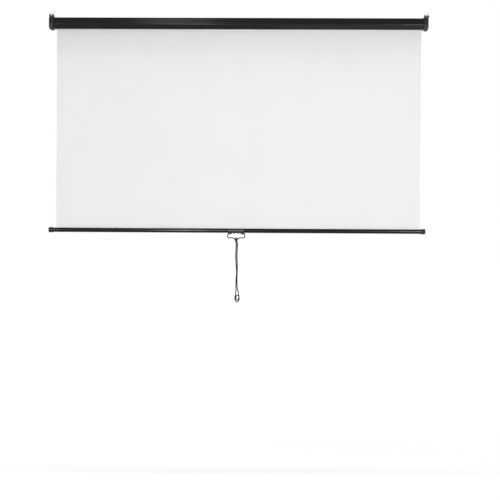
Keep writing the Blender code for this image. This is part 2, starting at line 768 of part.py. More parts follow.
def make_pawl(label, pivot, turn):
    """A pawl on its pin, its tip held just outside the collar. Its object origin is on the pin."""
    reach = -PAWL_PIVOT[0] + PAWL_TIP_OFFSET
    half = PAWL_ARM_WIDTH / 2
    rise = PAWL_TIP_RISE
    tip_drop = sqrt((COLLAR_RADIUS + GAP) ** 2 - PAWL_TIP_OFFSET ** 2) - PAWL_PIVOT[1]
    eye_exit = degrees(asin(half / PAWL_EYE_RADIUS))
    outline = arc((0, 0), (PAWL_EYE_RADIUS, PAWL_EYE_RADIUS), eye_exit + PAWL_EYE_FILLET,
                  360 - eye_exit, SMALL_ROUND_STEPS)
    outline += [
        (reach - PAWL_ARM_WIDTH, rise - half),
        (reach - half, tip_drop),
        (reach, tip_drop),
        (reach, rise + half),
    ]
    hole = circle((0, 0), PAWL_PIN_RADIUS + GAP, SMALL_ROUND_STEPS)
    pawl = slab("pawl_" + label, [outline, hole], -PAWL_OUTER, -PAWL_INNER, "X")
    pawl.rotation_euler.rotate_axis("Z", turn)
    pawl.location.y, pawl.location.z = pivot
    return as_part(pawl, "zinc_steel")


def make_pawl_pin(label, pivot):
    """The rivet that a pawl swings on, held in the spring plug's flange."""
    flange = -SPRING_FLANGE_OUTER
    head = -PAWL_OUTER - GAP
    profile = [
        (0, flange + PAWL_PIN_GRIP),
        (PAWL_PIN_RADIUS, flange + PAWL_PIN_GRIP),
        (PAWL_PIN_RADIUS, head),
        (PAWL_PIN_HEAD_RADIUS, head),
        (PAWL_PIN_HEAD_RADIUS, head - PAWL_PIN_HEAD_HEIGHT),
        (0, head - PAWL_PIN_HEAD_HEIGHT),
    ]
    pin = turned("pawl_pin_" + label, profile, (0, *pivot), steps=SMALL_ROUND_STEPS)
    return as_part(pin, "zinc_steel")


def make_idler_end():
    """The plug at the roller's free end, and the pin in the right cap that it turns on."""
    outer = IDLER_FLANGE_OUTER
    seat = outer - FLANGE_LENGTH
    bore = IDLER_PIN_RADIUS + GAP
    bore_floor = CAP_SEAT - IDLER_PIN_REACH - GAP
    profile = [
        (bore, outer),
        (ROLLER_RADIUS, outer),
        (ROLLER_RADIUS, seat),
        (PLUG_RADIUS, seat),
        (PLUG_RADIUS, seat - IDLER_PLUG_LENGTH),
        (0, seat - IDLER_PLUG_LENGTH),
    ]
    profile = [(0, bore_floor), (bore, bore_floor)] + profile
    plug = turned("idler_plug", profile, (0, *ROLLER_CENTRE))
    as_part(plug, "grey_plastic")
    pin = rod("idler_pin", IDLER_PIN_RADIUS, CAP_SEAT - IDLER_PIN_REACH, CAP_SEAT + TENON_REACH,
              (0, *ROLLER_CENTRE), steps=ROUND_STEPS)
    as_part(pin, "zinc_steel")


def hem_rod_rise():
    """How far above the bar's centre the hem rod jams under the slot."""
    inner = BAR_RADIUS - BAR_WALL
    half_slot = BAR_SLOT_WIDTH / 2
    edge = sqrt(inner ** 2 - half_slot ** 2)
    return edge - sqrt((HEM_ROD_RADIUS + GAP) ** 2 - half_slot ** 2)


def make_fabric():
    """The hanging fabric, from level with the roller's axis down to the hem rod in the bar."""
    half = FABRIC_WIDTH / 2
    y = -FABRIC_FROM_WALL
    bottom = BAR_CENTRE[1] + hem_rod_rise() + HEM_ROD_RADIUS + GAP
    fabric = box("projection_fabric", (FABRIC_SHIFT - half, y - FABRIC_THICKNESS / 2, bottom),
                 (FABRIC_SHIFT + half, y + FABRIC_THICKNESS / 2, ROLLER_CENTRE[1]))
    return as_part(fabric, "white_fabric")


def bar_ring(radius, mouth, steps=ROUND_STEPS):
    """A ring round the bar's centre that is open at the top, from front to rear."""
    y, z = BAR_CENTRE
    points = []
    for step in range(steps + 1):
        angle = mouth / 2 + (2 * pi - mouth) * step / steps
        points.append((y - radius * sin(angle), z + radius * cos(angle)))
    return points


def rivet_places():
    return {
        "left": HANDLE_MIDDLE - RIVET_SPACING / 2,
        "right": HANDLE_MIDDLE + RIVET_SPACING / 2,
    }


def rivet_cutter(name, across):
    """The hole for one clip rivet, through the rear of the clip and of the bar."""
    reach = CLIP_INNER_RADIUS + CLIP_WALL + GAP
    return rod(name, RIVET_RADIUS + GAP, BAR_RADIUS / 2, reach, (across, *BAR_CENTRE), axis="Y")


def make_bar():
    """The weight bar, slotted along its top, and the rod in the fabric's hem."""
    half = BAR_LENGTH / 2 - BAR_CAP_LENGTH + BAR_CAP_SOCKET_DEPTH - GAP
    mouth = 2 * asin(BAR_SLOT_WIDTH / 2 / BAR_RADIUS)
    bar = channel("bottom_bar", bar_ring(BAR_RADIUS, mouth), BAR_MIDDLE - half, BAR_MIDDLE + half,
                  BAR_WALL)
    for label, across in rivet_places().items():
        cut(bar, rivet_cutter(f"bar_rivet_hole_{label}", across))
    as_part(bar, "black_painted_steel")
    y, z = BAR_CENTRE
    hem = rod("hem_rod", HEM_ROD_RADIUS, -FABRIC_WIDTH / 2, FABRIC_WIDTH / 2,
              (FABRIC_SHIFT, y, z + hem_rod_rise()))
    as_part(hem, "grey_plastic")


def make_bar_cap(side, name):
    """A turned plastic cap on one end of the bar: domed head, groove, collar and socket."""
    half = BAR_LENGTH / 2
    dome_centre = half - BAR_CAP_DOME
    dome = arc((0, dome_centre), (BAR_CAP_RADIUS, BAR_CAP_DOME), 90, 0, 6)
    inner = half - BAR_CAP_LENGTH
    groove = half - BAR_CAP_GROOVE_INSET
    groove_floor = BAR_CAP_RADIUS - BAR_CAP_GROOVE_DEPTH
    socket = BAR_RADIUS + GAP
    socket_floor = inner + BAR_CAP_SOCKET_DEPTH
    profile = dome + [
        (BAR_CAP_RADIUS, groove),
        (groove_floor, groove),
        (groove_floor, groove - BAR_CAP_GROOVE_WIDTH),
        (BAR_CAP_COLLAR_RADIUS, groove - BAR_CAP_GROOVE_WIDTH),
        (BAR_CAP_COLLAR_RADIUS, inner + BAR_CAP_CHAMFER),
        (BAR_CAP_RIM_RADIUS, inner),
        (socket, inner),
        (socket, socket_floor),
        (0, socket_floor),
    ]
    if side < 0:
        profile = [(radius, -distance) for radius, distance in reversed(profile)]
    cap = turned(name, profile, (BAR_MIDDLE, *BAR_CENTRE))
    return as_part(cap, "black_plastic")


def skirt_outline():
    """The clip's scalloped lower edge between its lugs: three arches and two teeth."""
    y, z = BAR_CENTRE
    top = z - CLIP_INNER_RADIUS - CLIP_WALL / 2
    low = z - BAR_RADIUS - SKIRT_TOOTH_DROP
    rise = SKIRT_ARCH_RISE
    lug_inner = CLIP_LENGTH / 2 - LUG_LENGTH
    half_tooth = SKIRT_TOOTH_WIDTH / 2
    side_half = (lug_inner - SKIRT_TOOTH_OFFSET - half_tooth) / 2
    side_centre = lug_inner - side_half
    middle_half = SKIRT_TOOTH_OFFSET - half_tooth
    points = [(-lug_inner - CLIP_WALL, top), (lug_inner + CLIP_WALL, top), (lug_inner + CLIP_WALL, low)]
    points += arc((side_centre, low), (side_half, rise), 0, 180, 8)
    points += arc((0, low), (middle_half, rise), 0, 180, 10)
    points += arc((-side_centre, low), (side_half, rise), 0, 180, 8)
    points += [(-lug_inner - CLIP_WALL, low)]
    return [(HANDLE_MIDDLE + across, up) for across, up in points]


def make_handle_clip():
    """The sheet clip that hugs the bar, with two curled lugs for the bail and a scalloped skirt."""
    half = CLIP_LENGTH / 2
    y = BAR_CENTRE[0]
    clip = channel("handle_clip", bar_ring(CLIP_INNER_RADIUS + CLIP_WALL, CLIP_MOUTH),
                   HANDLE_MIDDLE - half, HANDLE_MIDDLE + half, CLIP_WALL)
    join(clip, slab("clip_skirt", [skirt_outline()], y - SKIRT_THICKNESS / 2, y + SKIRT_THICKNESS / 2,
                    "Y"))
    inner = half - LUG_LENGTH
    bores = []
    for side, label in ((-1, "left"), (1, "right")):
        place = (HANDLE_MIDDLE, *LUG_CENTRE)
        join(clip, rod(f"lug_{label}", LUG_RADIUS, *span(side, inner, half), place))
        bores.append(rod(f"lug_bore_{label}", BAIL_WIRE_RADIUS + GAP,
                         *span(side, inner - 2 * CLIP_WALL, half + CLIP_WALL), place))
    cut(clip, *bores)
    for label, across in rivet_places().items():
        cut(clip, rivet_cutter(f"clip_rivet_hole_{label}", across))
    return as_part(clip, "grey_painted_steel")


def make_clip_rivet(label, across):
    """A rivet from the rear, through the clip and the bar's wall."""
    seat = CLIP_INNER_RADIUS + CLIP_WALL + GAP
    tip = BAR_RADIUS - BAR_WALL - RIVET_RADIUS
    profile = [
        (0, seat + RIVET_HEAD_HEIGHT),
        (RIVET_HEAD_RADIUS, seat + RIVET_HEAD_HEIGHT / 2),
        (RIVET_HEAD_RADIUS, seat),
        (RIVET_RADIUS, seat),
        (RIVET_RADIUS, tip),
        (0, tip),
    ]
    rivet = turned("clip_rivet_" + label, profile, (across, *BAR_CENTRE), axis="Y",
                   steps=SMALL_ROUND_STEPS)
    return as_part(rivet, "zinc_steel")


def bail_path():
    """The bail's centreline across and down from the lugs' axis, from left end to right end."""
    inner = CLIP_LENGTH / 2 - LUG_LENGTH
    dip = BAIL_DROP + BAIL_DIP_DEPTH
    right = [
        (inner, 0, 0),
        (BAIL_SIDE_OFFSET, 0, BAIL_SHOULDER_RADIUS),
        (BAIL_SIDE_OFFSET, -BAIL_DROP, BAIL_CORNER_RADIUS),
        (BAIL_DIP_HALF_WIDTH, -BAIL_DROP, BAIL_DIP_RADIUS),
    ]
    left = [(-across, down, radius) for across, down, radius in right]
    return rounded(left + [(0, -dip, BAIL_APEX_RADIUS)] + right[::-1], closed=False)


def make_bail():
    y, z = LUG_CENTRE
    points = [(HANDLE_MIDDLE + across, y, z + down) for across, down in bail_path()]
    bail = wire("pull_bail", points, BAIL_WIRE_RADIUS, (HANDLE_MIDDLE, *LUG_CENTRE))
    return as_part(bail, "black_wire")


def apex_place():
    """The lowest point of the bail's centreline."""
    y, z = LUG_CENTRE
    return Vector((HANDLE_MIDDLE, y, z + min(down for across, down in bail_path())))


def hitch_place():
    """The middle of the line that the hitch turns about, level with the wire inside its loops."""
    y, z = LUG_CENTRE
    rise = BAIL_DIP_DEPTH * HITCH_OFFSET / BAIL_DIP_HALF_WIDTH
    return Vector((HANDLE_MIDDLE, y, z - BAIL_DROP - BAIL_DIP_DEPTH + rise))


def half_hitch(side):
    """One half of the hitch, from the middle of its bight, over the wire and down behind it."""
    slope = atan2(BAIL_DIP_DEPTH, BAIL_DIP_HALF_WIDTH)
    wire_up = (hitch_place() - apex_place()).z
    radius = (BAIL_WIRE_RADIUS + CORD_RADIUS + GAP) / cos(radians(HITCH_TURN_STEP / 2))
    points = [Vector((side * across, back, up)) * MM for across, back, up in HITCH_BIGHT]
    for angle in range(-90, 91, HITCH_TURN_STEP):
        lift = radius * cos(radians(angle))
        points.append(Vector((side * (HITCH_OFFSET - lift * sin(slope)),
                              radius * sin(radians(angle)), wire_up + lift * cos(slope))))
    points += [Vector((side * across, back, up)) * MM for across, back, up in HITCH_TAIL]
    return points


def strand(side):
    """One of the two strands that hang side by side, from the hitch down."""
    points = []
    for step in range(STRAND_STEPS + 1):
        down = STRAND_TOP + (STRAND_BOTTOM - STRAND_TOP) * step / STRAND_STEPS
        share = min(1, max(0, (down - TURN_FROM) / (TURN_TO - TURN_FROM)))
        turn = STRAND_TURN * sin(pi * share)
        sway = -STRAND_SWAY * cos(pi * (down - SWAY_FIRST_LEFT) / SWAY_HALF_PERIOD)
        centre = STRAND_SHIFT + STRAND_DRIFT * down / STRAND_BOTTOM + sway
        points.append(Vector((centre + side * STRAND_SPREAD * cos(turn),
                              side * STRAND_SPREAD * sin(turn), -down)))
    return points


def smooth(points, steps):
    """Points on a smooth curve through the given ones (Catmull-Rom)."""
    padded = [2 * points[0] - points[1]] + points + [2 * points[-1] - points[-2]]
    result = []
    for index in range(1, len(padded) - 2):
        before, start, end, after = padded[index - 1:index + 3]
        for step in range(steps):
            t = step / steps
            result.append(0.5 * (2 * start + (end - before) * t
                                 + (2 * before - 5 * start + 4 * end - after) * t ** 2
                                 + (3 * start - before - 3 * end + after) * t ** 3))
    result.append(points[-1])
    return result


def least_gap(points, radius, reach=10):
    """The least gap from a tube to itself, between stretches over reach radii apart along it."""
    along = [0.0]
    for first, second in zip(points, points[1:]):
        along.append(along[-1] + (second - first).length)
    gaps = []
    for index, point in enumerate(points):
        for other in range(index + 1, len(points) - 1):
            if along[other] - along[index] > reach * radius:
                start, end = points[other], points[other + 1]
                share = intersect_point_line(point, start, end)[1]
                nearest = start.lerp(end, min(1, max(0, share)))
                gaps.append((point - nearest).length - 2 * radius)
    return min(gaps)


def make_cord():
    """One tube: the hitch, one strand down, the curl, the other strand up, and the hitch again."""
    curl = [Vector(point) * MM for point in CORD_CURL]
    loop = strand(-1) + smooth(curl, CURL_STEPS_PER_SPAN) + strand(1)[::-1]
    print("pull_cord's least gap to itself, in mm:", round(least_gap(loop, CORD_RADIUS) / MM, 2))
    apex = apex_place()
    route = [apex + point for point in half_hitch(-1) + loop + half_hitch(1)[::-1]]
    return as_part(wire("pull_cord", route, CORD_RADIUS, hitch_place()), "black_cord")


def build():
    make_case()
    for side, label in ((-1, "left"), (1, "right")):
        make_end_cap(side, "end_cap_" + label)
        make_bar_cap(side, "bar_cap_" + label)
        for place, height in zip(screw_places(side), ("upper", "lower")):
            make_cap_screw(f"cap_screw_{label}_{height}", *place)
    make_roller_tube()
    make_spare_wrap()
    make_spring_plug()
    make_arbor()
    make_torsion_spring()
    make_idler_end()
    pivots = pawl_pivots()
    make_pawl("upper", pivots["upper"], 0)
    make_pawl("lower", pivots["lower"], pi + PAWL_OPENING)
    for label, pivot in pivots.items():
        make_pawl_pin(label, pivot)
    make_fabric()
    make_bar()
    make_handle_clip()
    for label, across in rivet_places().items():
        make_clip_rivet(label, across)
    make_bail()
    make_cord()


build()
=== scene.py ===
# %% [markdown]
# # A pull-down projector screen
# The screen hangs on a wall. A long steel case holds a spring roller, a white cloth hangs from
# the roller, and at its foot are a round weight bar, a wire bail and a pull cord.
# The lesson dresses a CAD model. The model gives every place, and each pair of cells below makes
# one piece or one finish in the same frame: metres, +Z up, the wall at y = 0, and the viewer
# on the -Y side.

# %% Load the model
from math import atan2, cos, pi, radians, sin, sqrt, tan

import bmesh
import bpy
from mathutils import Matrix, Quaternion, Vector


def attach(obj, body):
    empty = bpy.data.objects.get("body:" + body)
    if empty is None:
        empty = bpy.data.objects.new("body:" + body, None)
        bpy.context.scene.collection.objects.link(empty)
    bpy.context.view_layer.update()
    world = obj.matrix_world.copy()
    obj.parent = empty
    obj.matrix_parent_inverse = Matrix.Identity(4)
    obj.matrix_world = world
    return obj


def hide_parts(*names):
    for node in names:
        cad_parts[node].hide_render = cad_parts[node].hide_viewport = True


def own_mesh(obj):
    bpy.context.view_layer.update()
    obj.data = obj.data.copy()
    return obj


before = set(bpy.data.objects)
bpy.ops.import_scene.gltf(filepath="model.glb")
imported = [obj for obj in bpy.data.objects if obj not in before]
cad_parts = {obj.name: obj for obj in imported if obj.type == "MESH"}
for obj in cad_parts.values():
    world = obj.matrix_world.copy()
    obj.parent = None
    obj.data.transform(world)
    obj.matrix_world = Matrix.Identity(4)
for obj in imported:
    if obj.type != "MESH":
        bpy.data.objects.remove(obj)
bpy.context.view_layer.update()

MM = 0.001
# Two places nearer than this are the same place
SAME_PLACE = 0.01 * MM

# %% [markdown]
# ## Camera
# A long lens far away keeps the case and the bar almost parallel. The camera stands a little to
# the right, level with the cord's upper end, and leans a fraction of a degree, as the photographer's did.
# Its frame is square, and covers a little over two metres at the screen. Three angles could be
# typed in, but a line from the camera to its aim is easier to read and to correct.

# %% Camera
CAMERA_PLACE = Vector((0.351, -9.996, -0.9606))
CAMERA_AIM = Vector((0.054, 0, -0.9606))
CAMERA_LEAN = radians(0.33)
VIEW_WIDTH = 2.130
SENSOR_WIDTH = 36

bpy.ops.object.select_all(action="DESELECT")
bpy.ops.object.camera_add(location=CAMERA_PLACE)
camera = bpy.context.object
sight = CAMERA_AIM - CAMERA_PLACE
camera.rotation_mode = "QUATERNION"
camera.rotation_quaternion = sight.to_track_quat("-Z", "Y") @ Quaternion((0, 0, 1), CAMERA_LEAN)
camera.data.sensor_width = SENSOR_WIDTH
camera.data.lens = SENSOR_WIDTH * sight.length / VIEW_WIDTH
bpy.context.scene.camera = camera
bpy.context.scene.view_settings.view_transform = "Standard"
print("Lens, in mm:", round(camera.data.lens, 1))

# %% [markdown]
# ## The pull cord
# The cord is an endless loop of braided polyester. Its middle is hitched round the bail, its two
# strands hang side by side with a slight turn, and at the foot they part into a loose curl.
# A rope simulation could let it fall, but a tied hitch and a settled curl are easier to place than
# to simulate. So the cord is a curve: a list of points for its centreline, smoothed, and a round
# section along it. Every length is in millimetres from the lowest point of the bail.

# %% Cord: the hitch round the wire
BAIL_APEX = Vector((-4.5, -13.0, -915.811))
CORD_RADIUS = 2.25
WIRE_RADIUS = 2.2
HITCH_CLEARANCE = 0.3
HITCH_OFFSET = 4.6
DIP_HALF_WIDTH = 15.5
DIP_DEPTH = 7.0
BEND_LIFT = 0.39
BIGHT = ((0.1, -3.4, -4.6), (2.6, -3.8, -3.8), (4.7, -4.0, -1.2))
TAIL = ((3.6, 3.5, -2.8), (2.7, 2.4, -8.0))
print("Hitch: points a side", len(BIGHT) + 5 + len(TAIL))


def half_hitch(side):
    """Goes from the middle of the bight over the sloping wire and down behind it."""
    slope = atan2(DIP_DEPTH, DIP_HALF_WIDTH)
    wire_up = DIP_DEPTH * HITCH_OFFSET / DIP_HALF_WIDTH - BEND_LIFT
    reach = WIRE_RADIUS + CORD_RADIUS + HITCH_CLEARANCE
    points = [Vector((side * across, back, up)) for across, back, up in BIGHT]
    for angle in range(-90, 91, 45):
        lift = reach * cos(radians(angle))
        points.append(Vector((side * (HITCH_OFFSET - lift * sin(slope)),
                              reach * sin(radians(angle)), wire_up + lift * cos(slope))))
    return points + [Vector((side * across, back, up)) for across, back, up in TAIL]


# %% Cord: the strands and the curl
STRAND_TOP = 16
STRAND_BOTTOM = 200
STRAND_STEPS = 20
STRAND_SPREAD = 2.5
STRAND_SHIFT = 1.5
STRAND_DRIFT = 1.6
STRAND_SWAY = 1.0
SWAY_FIRST_LEFT = 73
SWAY_HALF_PERIOD = 57
STRAND_TURN = radians(62)
TURN_FROM = 100
TURN_TO = 196
# From the left strand round to the right one
CURL = ((0.2, -2.6, -214.0), (-1.4, -3.4, -232.0), (-4.2, -3.0, -248.5), (-2.2, -2.6, -260.4),
        (3.8, -2.0, -265.9), (10.6, -1.2, -261.5), (13.7, 0.4, -250.5), (11.0, 2.0, -240.8),
        (5.2, 3.2, -237.8), (0.2, 4.4, -242.6), (-0.6, 5.4, -250.8), (3.8, 6.4, -257.0),
        (9.4, 7.2, -256.2), (12.4, 7.8, -247.6), (10.2, 7.0, -229.0), (6.5, 3.6, -211.0))
POINT_SPACING = 1.3


def strand(side):
    """One of the two strands that hang side by side, from the hitch down."""
    points = []
    for step in range(STRAND_STEPS + 1):
        down = STRAND_TOP + (STRAND_BOTTOM - STRAND_TOP) * step / STRAND_STEPS
        share = min(1, max(0, (down - TURN_FROM) / (TURN_TO - TURN_FROM)))
        turn = STRAND_TURN * sin(pi * share)
        sway = -STRAND_SWAY * cos(pi * (down - SWAY_FIRST_LEFT) / SWAY_HALF_PERIOD)
        centre = STRAND_SHIFT + STRAND_DRIFT * down / STRAND_BOTTOM + sway
        points.append(Vector((centre + side * STRAND_SPREAD * cos(turn),
                              side * STRAND_SPREAD * sin(turn), -down)))
    return points


def smooth(points, spacing):
    """Evenly spaced points on a curve through the given ones, free of kinks (centripetal Catmull-Rom)."""
    padded = [2 * points[0] - points[1]] + points + [2 * points[-1] - points[-2]]
    result = []
    for before, start, end, after in zip(padded, padded[1:], padded[2:], padded[3:]):
        first = sqrt((start - before).length)
        second = first + sqrt((end - start).length)
        third = second + sqrt((after - end).length)
        steps = max(1, round((end - start).length / spacing))
        for step in range(steps):
            t = first + (second - first) * step / steps
            share = step / steps
            near = before.lerp(start, t / first)
            middle = start.lerp(end, share)
            far = end.lerp(after, (t - second) / (third - second))
            near_half = near.lerp(middle, t / second)
            far_half = middle.lerp(far, (t - first) / (third - first))
            result.append(near_half.lerp(far_half, share))
    return result + [points[-1]]


corners = (half_hitch(-1) + strand(-1) + [Vector(point) for point in CURL]
           + strand(1)[::-1] + half_hitch(1)[::-1])
route = [(BAIL_APEX + point) * MM for point in smooth(corners, POINT_SPACING)]
cord_length = sum((after - before).length for before, after in zip(route, route[1:]))
print("Cord length, in mm:", round(cord_length / MM, 1))


# %% Cord: the round section along the route
def tube(name, points, radius, resolution):
    """A mesh tube along the points. Its UV map runs along it and round it."""
    curve = bpy.data.curves.new(name, "CURVE")
    curve.dimensions = "3D"
    curve.bevel_depth = radius
    curve.bevel_resolution = resolution
    curve.use_fill_caps = True
    spline = curve.splines.new("POLY")
    spline.points.add(len(points) - 1)
    for point, place in zip(spline.points, points):
        point.co = (*place, 1)
    piece = bpy.data.objects.new(name, curve)
    bpy.context.collection.objects.link(piece)
    bpy.ops.object.select_all(action="DESELECT")
    piece.select_set(True)
    bpy.context.view_layer.objects.active = piece
    bpy.ops.object.convert(target="MESH")
    bpy.ops.object.shade_smooth_by_angle(angle=radians(50))
    return piece


cord = tube("braided_cord", route, CORD_RADIUS * MM, 4)
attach(cord, "cord")
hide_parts("pull_cord")
print("Cord triangles:", sum(len(face.vertices) - 2 for face in cord.data.polygons))

# %% [markdown]
# ## Helpers for modelling
# Each piece starts from a primitive, and edit mode's own operators shape it. An operator acts on
# whatever is selected, so one helper clears the selection, one enters edit mode with a chosen
# set of faces or edges, and one leaves the finished piece at the origin, with its place
# in its mesh.


# %% Helpers for modelling
def only(piece):
    """Makes this piece the only selected one, and the active one."""
    bpy.ops.object.select_all(action="DESELECT")
    piece.select_set(True)
    bpy.context.view_layer.objects.active = piece


def pick(piece, kind, test):
    """In edit mode, selects the faces, edges or verts whose middle passes the test."""
    bpy.ops.mesh.select_mode(type={"faces": "FACE", "edges": "EDGE", "verts": "VERT"}[kind])
    bpy.ops.mesh.select_all(action="DESELECT")
    shape = bmesh.from_edit_mesh(piece.data)
    for item in getattr(shape, kind):
        corners = [item.co] if kind == "verts" else [vert.co for vert in item.verts]
        item.select_set(bool(test(sum(corners, Vector()) / len(corners), item)))
    shape.select_flush_mode()
    bmesh.update_edit_mesh(piece.data)


def edit(piece):
    """Enters edit mode on this piece alone."""
    only(piece)
    bpy.ops.object.mode_set(mode="EDIT")


def leave(piece):
    """Leaves edit mode, and puts the piece's place and turn into its mesh."""
    if piece.mode == "EDIT":
        bpy.ops.object.mode_set(mode="OBJECT")
    only(piece)
    bpy.ops.object.transform_apply(location=True, rotation=True, scale=True)


def modify(piece, kind, **settings):
    """Adds a modifier and applies it."""
    only(piece)
    modifier = piece.modifiers.new(kind.lower(), kind)
    for name, value in settings.items():
        setattr(modifier, name, value)
    bpy.ops.object.modifier_apply(modifier=modifier.name)


def done(piece, body, nodes, angle=35):
    """Smooths the piece, lets it ride on its body, and hides the CAD nodes that it stands for.

    Weighted normals keep a large face flat beside a small bevel, so that it mirrors truly.
    """
    only(piece)
    bpy.ops.object.shade_smooth_by_angle(angle=radians(angle))
    modify(piece, "WEIGHTED_NORMAL", keep_sharp=True)
    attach(piece, body)
    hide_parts(*nodes)
    print(piece.name, "faces:", len(piece.data.polygons))


def chain(name, points, closed=False):
    """A line of edges: a plane shrunk to one vertex, which is then extruded from point to point."""
    bpy.ops.object.select_all(action="DESELECT")
    bpy.ops.mesh.primitive_plane_add(size=MM)
    piece = bpy.context.object
    piece.name = name
    edit(piece)
    bpy.ops.mesh.select_mode(type="VERT")
    bpy.ops.mesh.select_all(action="SELECT")
    bpy.ops.mesh.merge(type="CENTER")
    bpy.ops.transform.translate(value=points[0])
    for here, there in zip(points, points[1:]):
        bpy.ops.mesh.extrude_region_move(TRANSFORM_OT_translate={"value": Vector(there) - Vector(here)})
    bpy.ops.mesh.select_all(action="SELECT")
    if closed:
        bpy.ops.mesh.edge_face_add()
    return piece


# %% [markdown]
# ## The case
# The case is one strip of steel, folded along its length into six faces, with a mouth at the
# bottom and a short lip along each side of it. It is modelled as it is made: a flat strip is
# extruded from fold to fold, each fold is bevelled to its bending radius, and Solidify gives the
# sheet its thickness inwards. A box could be cut to the same outline, but a strip keeps one even
# thickness round every fold.

# %% Case: the folds
CASE_END = 794.7 * MM
SHEET = 1.0 * MM
# Each fold is (y, z, bending radius), from the rear lip round to the front lip
FOLDS = ((-5, -20.5, 0), (-5, -24.5, 2), (0, -24.5, 2), (0, 24.5, 2), (-41, 24.5, 4.5),
         (-52, -3.5, 3), (-45, -24.5, 4.5), (-21, -24.5, 2), (-21, -20.5, 0))

fold_places = [Vector((0, y, z)) * MM for y, z, radius in FOLDS]
bpy.ops.object.select_all(action="DESELECT")
lip_height = (fold_places[0] - fold_places[1]).length
bpy.ops.mesh.primitive_plane_add(size=1, location=(fold_places[0] + fold_places[1]) / 2,
                                 rotation=(radians(90), 0, 0))
case = bpy.context.object
case.name = "folded_case"
case.scale = (2 * CASE_END, lip_height, 1)
leave(case)
edit(case)
pick(case, "edges", lambda middle, edge: middle.z < fold_places[1].z + SAME_PLACE)
for here, there in zip(fold_places[1:], fold_places[2:]):
    bpy.ops.mesh.extrude_region_move(TRANSFORM_OT_translate={"value": there - here})
print("Case faces:", len(bmesh.from_edit_mesh(case.data).faces))

# %% Case: the bends and the wall
for index, (y, z, radius) in enumerate(FOLDS):
    if radius:
        here = fold_places[index]
        before = (fold_places[index - 1] - here).normalized()
        after = (fold_places[index + 1] - here).normalized()
        reach = radius * MM / tan(before.angle(after) / 2)
        pick(case, "edges", lambda middle, edge: (middle - here).length < SAME_PLACE)
        bpy.ops.mesh.bevel(offset_type="OFFSET", offset=reach, segments=6)
bpy.ops.mesh.select_all(action="SELECT")
bpy.ops.mesh.normals_make_consistent(inside=False)
leave(case)
modify(case, "SOLIDIFY", thickness=SHEET, offset=-1, use_even_offset=True)
print("Case faces with bends and wall:", len(case.data.polygons))

# %% Case: the countersunk holes in its back
HOLE_X = 788.7 * MM
HOLE_Z = 11 * MM
HEAD_RADIUS = 3.1 * MM
SHANK_RADIUS = 1.7 * MM
COUNTERSINK = 1.8 * MM
for x in (-HOLE_X, HOLE_X):
    for z in (-HOLE_Z, HOLE_Z):
        bpy.ops.object.select_all(action="DESELECT")
        bpy.ops.mesh.primitive_cone_add(vertices=32, radius1=SHANK_RADIUS, radius2=HEAD_RADIUS,
                                        depth=COUNTERSINK, location=(x, -COUNTERSINK / 2 + SAME_PLACE, z),
                                        rotation=(radians(-90), 0, 0))
        drill = bpy.context.object
        modify(case, "BOOLEAN", object=drill, operation="DIFFERENCE")
        bpy.data.objects.remove(drill)
modify(case, "BEVEL", width=0.25 * MM, segments=2, limit_method="ANGLE", angle_limit=radians(50))
done(case, "housing", ["case_shell"])
print("Case box, in mm:", [round(size / MM, 1) for size in case.dimensions])

# %% [markdown]
# ## The end caps
# Each cap is one moulding of black ABS: a domed head that the case pushes into, a rib along its
# foot, and a hanging ear with a hole. The CAD node has the right shape with sharp edges, so a
# copy of its mesh is merged and its flat faces are joined, and a small bevel rounds every edge
# as a mould does.

# %% End caps
MOULD_ROUND = 0.7 * MM


def soften(name, node, width, segments):
    """A copy of a CAD node with merged faces and rounded edges."""
    piece = bpy.data.objects.new(name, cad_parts[node].data.copy())
    bpy.context.collection.objects.link(piece)
    edit(piece)
    bpy.ops.mesh.select_all(action="SELECT")
    bpy.ops.mesh.remove_doubles(threshold=0.002 * MM)
    bpy.ops.mesh.dissolve_limited(angle_limit=radians(1))
    leave(piece)
    modify(piece, "BEVEL", width=width, segments=segments, limit_method="ANGLE",
           angle_limit=radians(40), miter_outer="MITER_ARC")
    return piece


caps = []
for side in ("left", "right"):
    cap = soften("moulded_cap_" + side, "end_cap_" + side, MOULD_ROUND, 3)
    done(cap, "housing", ["end_cap_" + side])
    caps.append(cap)

# %% [markdown]
# ## The cloth
# The screen's surface is a woven cloth with a white vinyl coat. It hangs from the roll inside
# the case to the slot in the bar. A hanging sheet is never quite flat: long soft waves run down
# it, its free edges curl, and one edge is drawn in. Cloth physics could find the waves by
# itself, but this cloth is almost flat, so a few sine waves on a fine grid look the same and
# never change from run to run. Solidify makes the grid a real sheet.

# %% Cloth: the hanging sheet
CLOTH_LEFT = -773.5 * MM
CLOTH_RIGHT = 776.5 * MM
CLOTH_BOTTOM = -870.34 * MM
CLOTH_FROM_WALL = 13 * MM
CLOTH_THICKNESS = 0.4 * MM
WAVE_HEIGHT = 0.9 * MM
LONG_WAVE = 0.57
SHORT_WAVE = 0.23
EDGE_CURL = 2.2 * MM
CURL_REACH = 30 * MM
DRAWN_IN = 4.4 * MM

width = CLOTH_RIGHT - CLOTH_LEFT
bpy.ops.object.select_all(action="DESELECT")
bpy.ops.mesh.primitive_grid_add(x_subdivisions=160, y_subdivisions=64, size=1,
                                location=((CLOTH_LEFT + CLOTH_RIGHT) / 2, -CLOTH_FROM_WALL,
                                          CLOTH_BOTTOM / 2),
                                rotation=(radians(90), 0, 0))
cloth = bpy.context.object
cloth.name = "hanging_cloth"
cloth.scale = (width, -CLOTH_BOTTOM, 1)
leave(cloth)


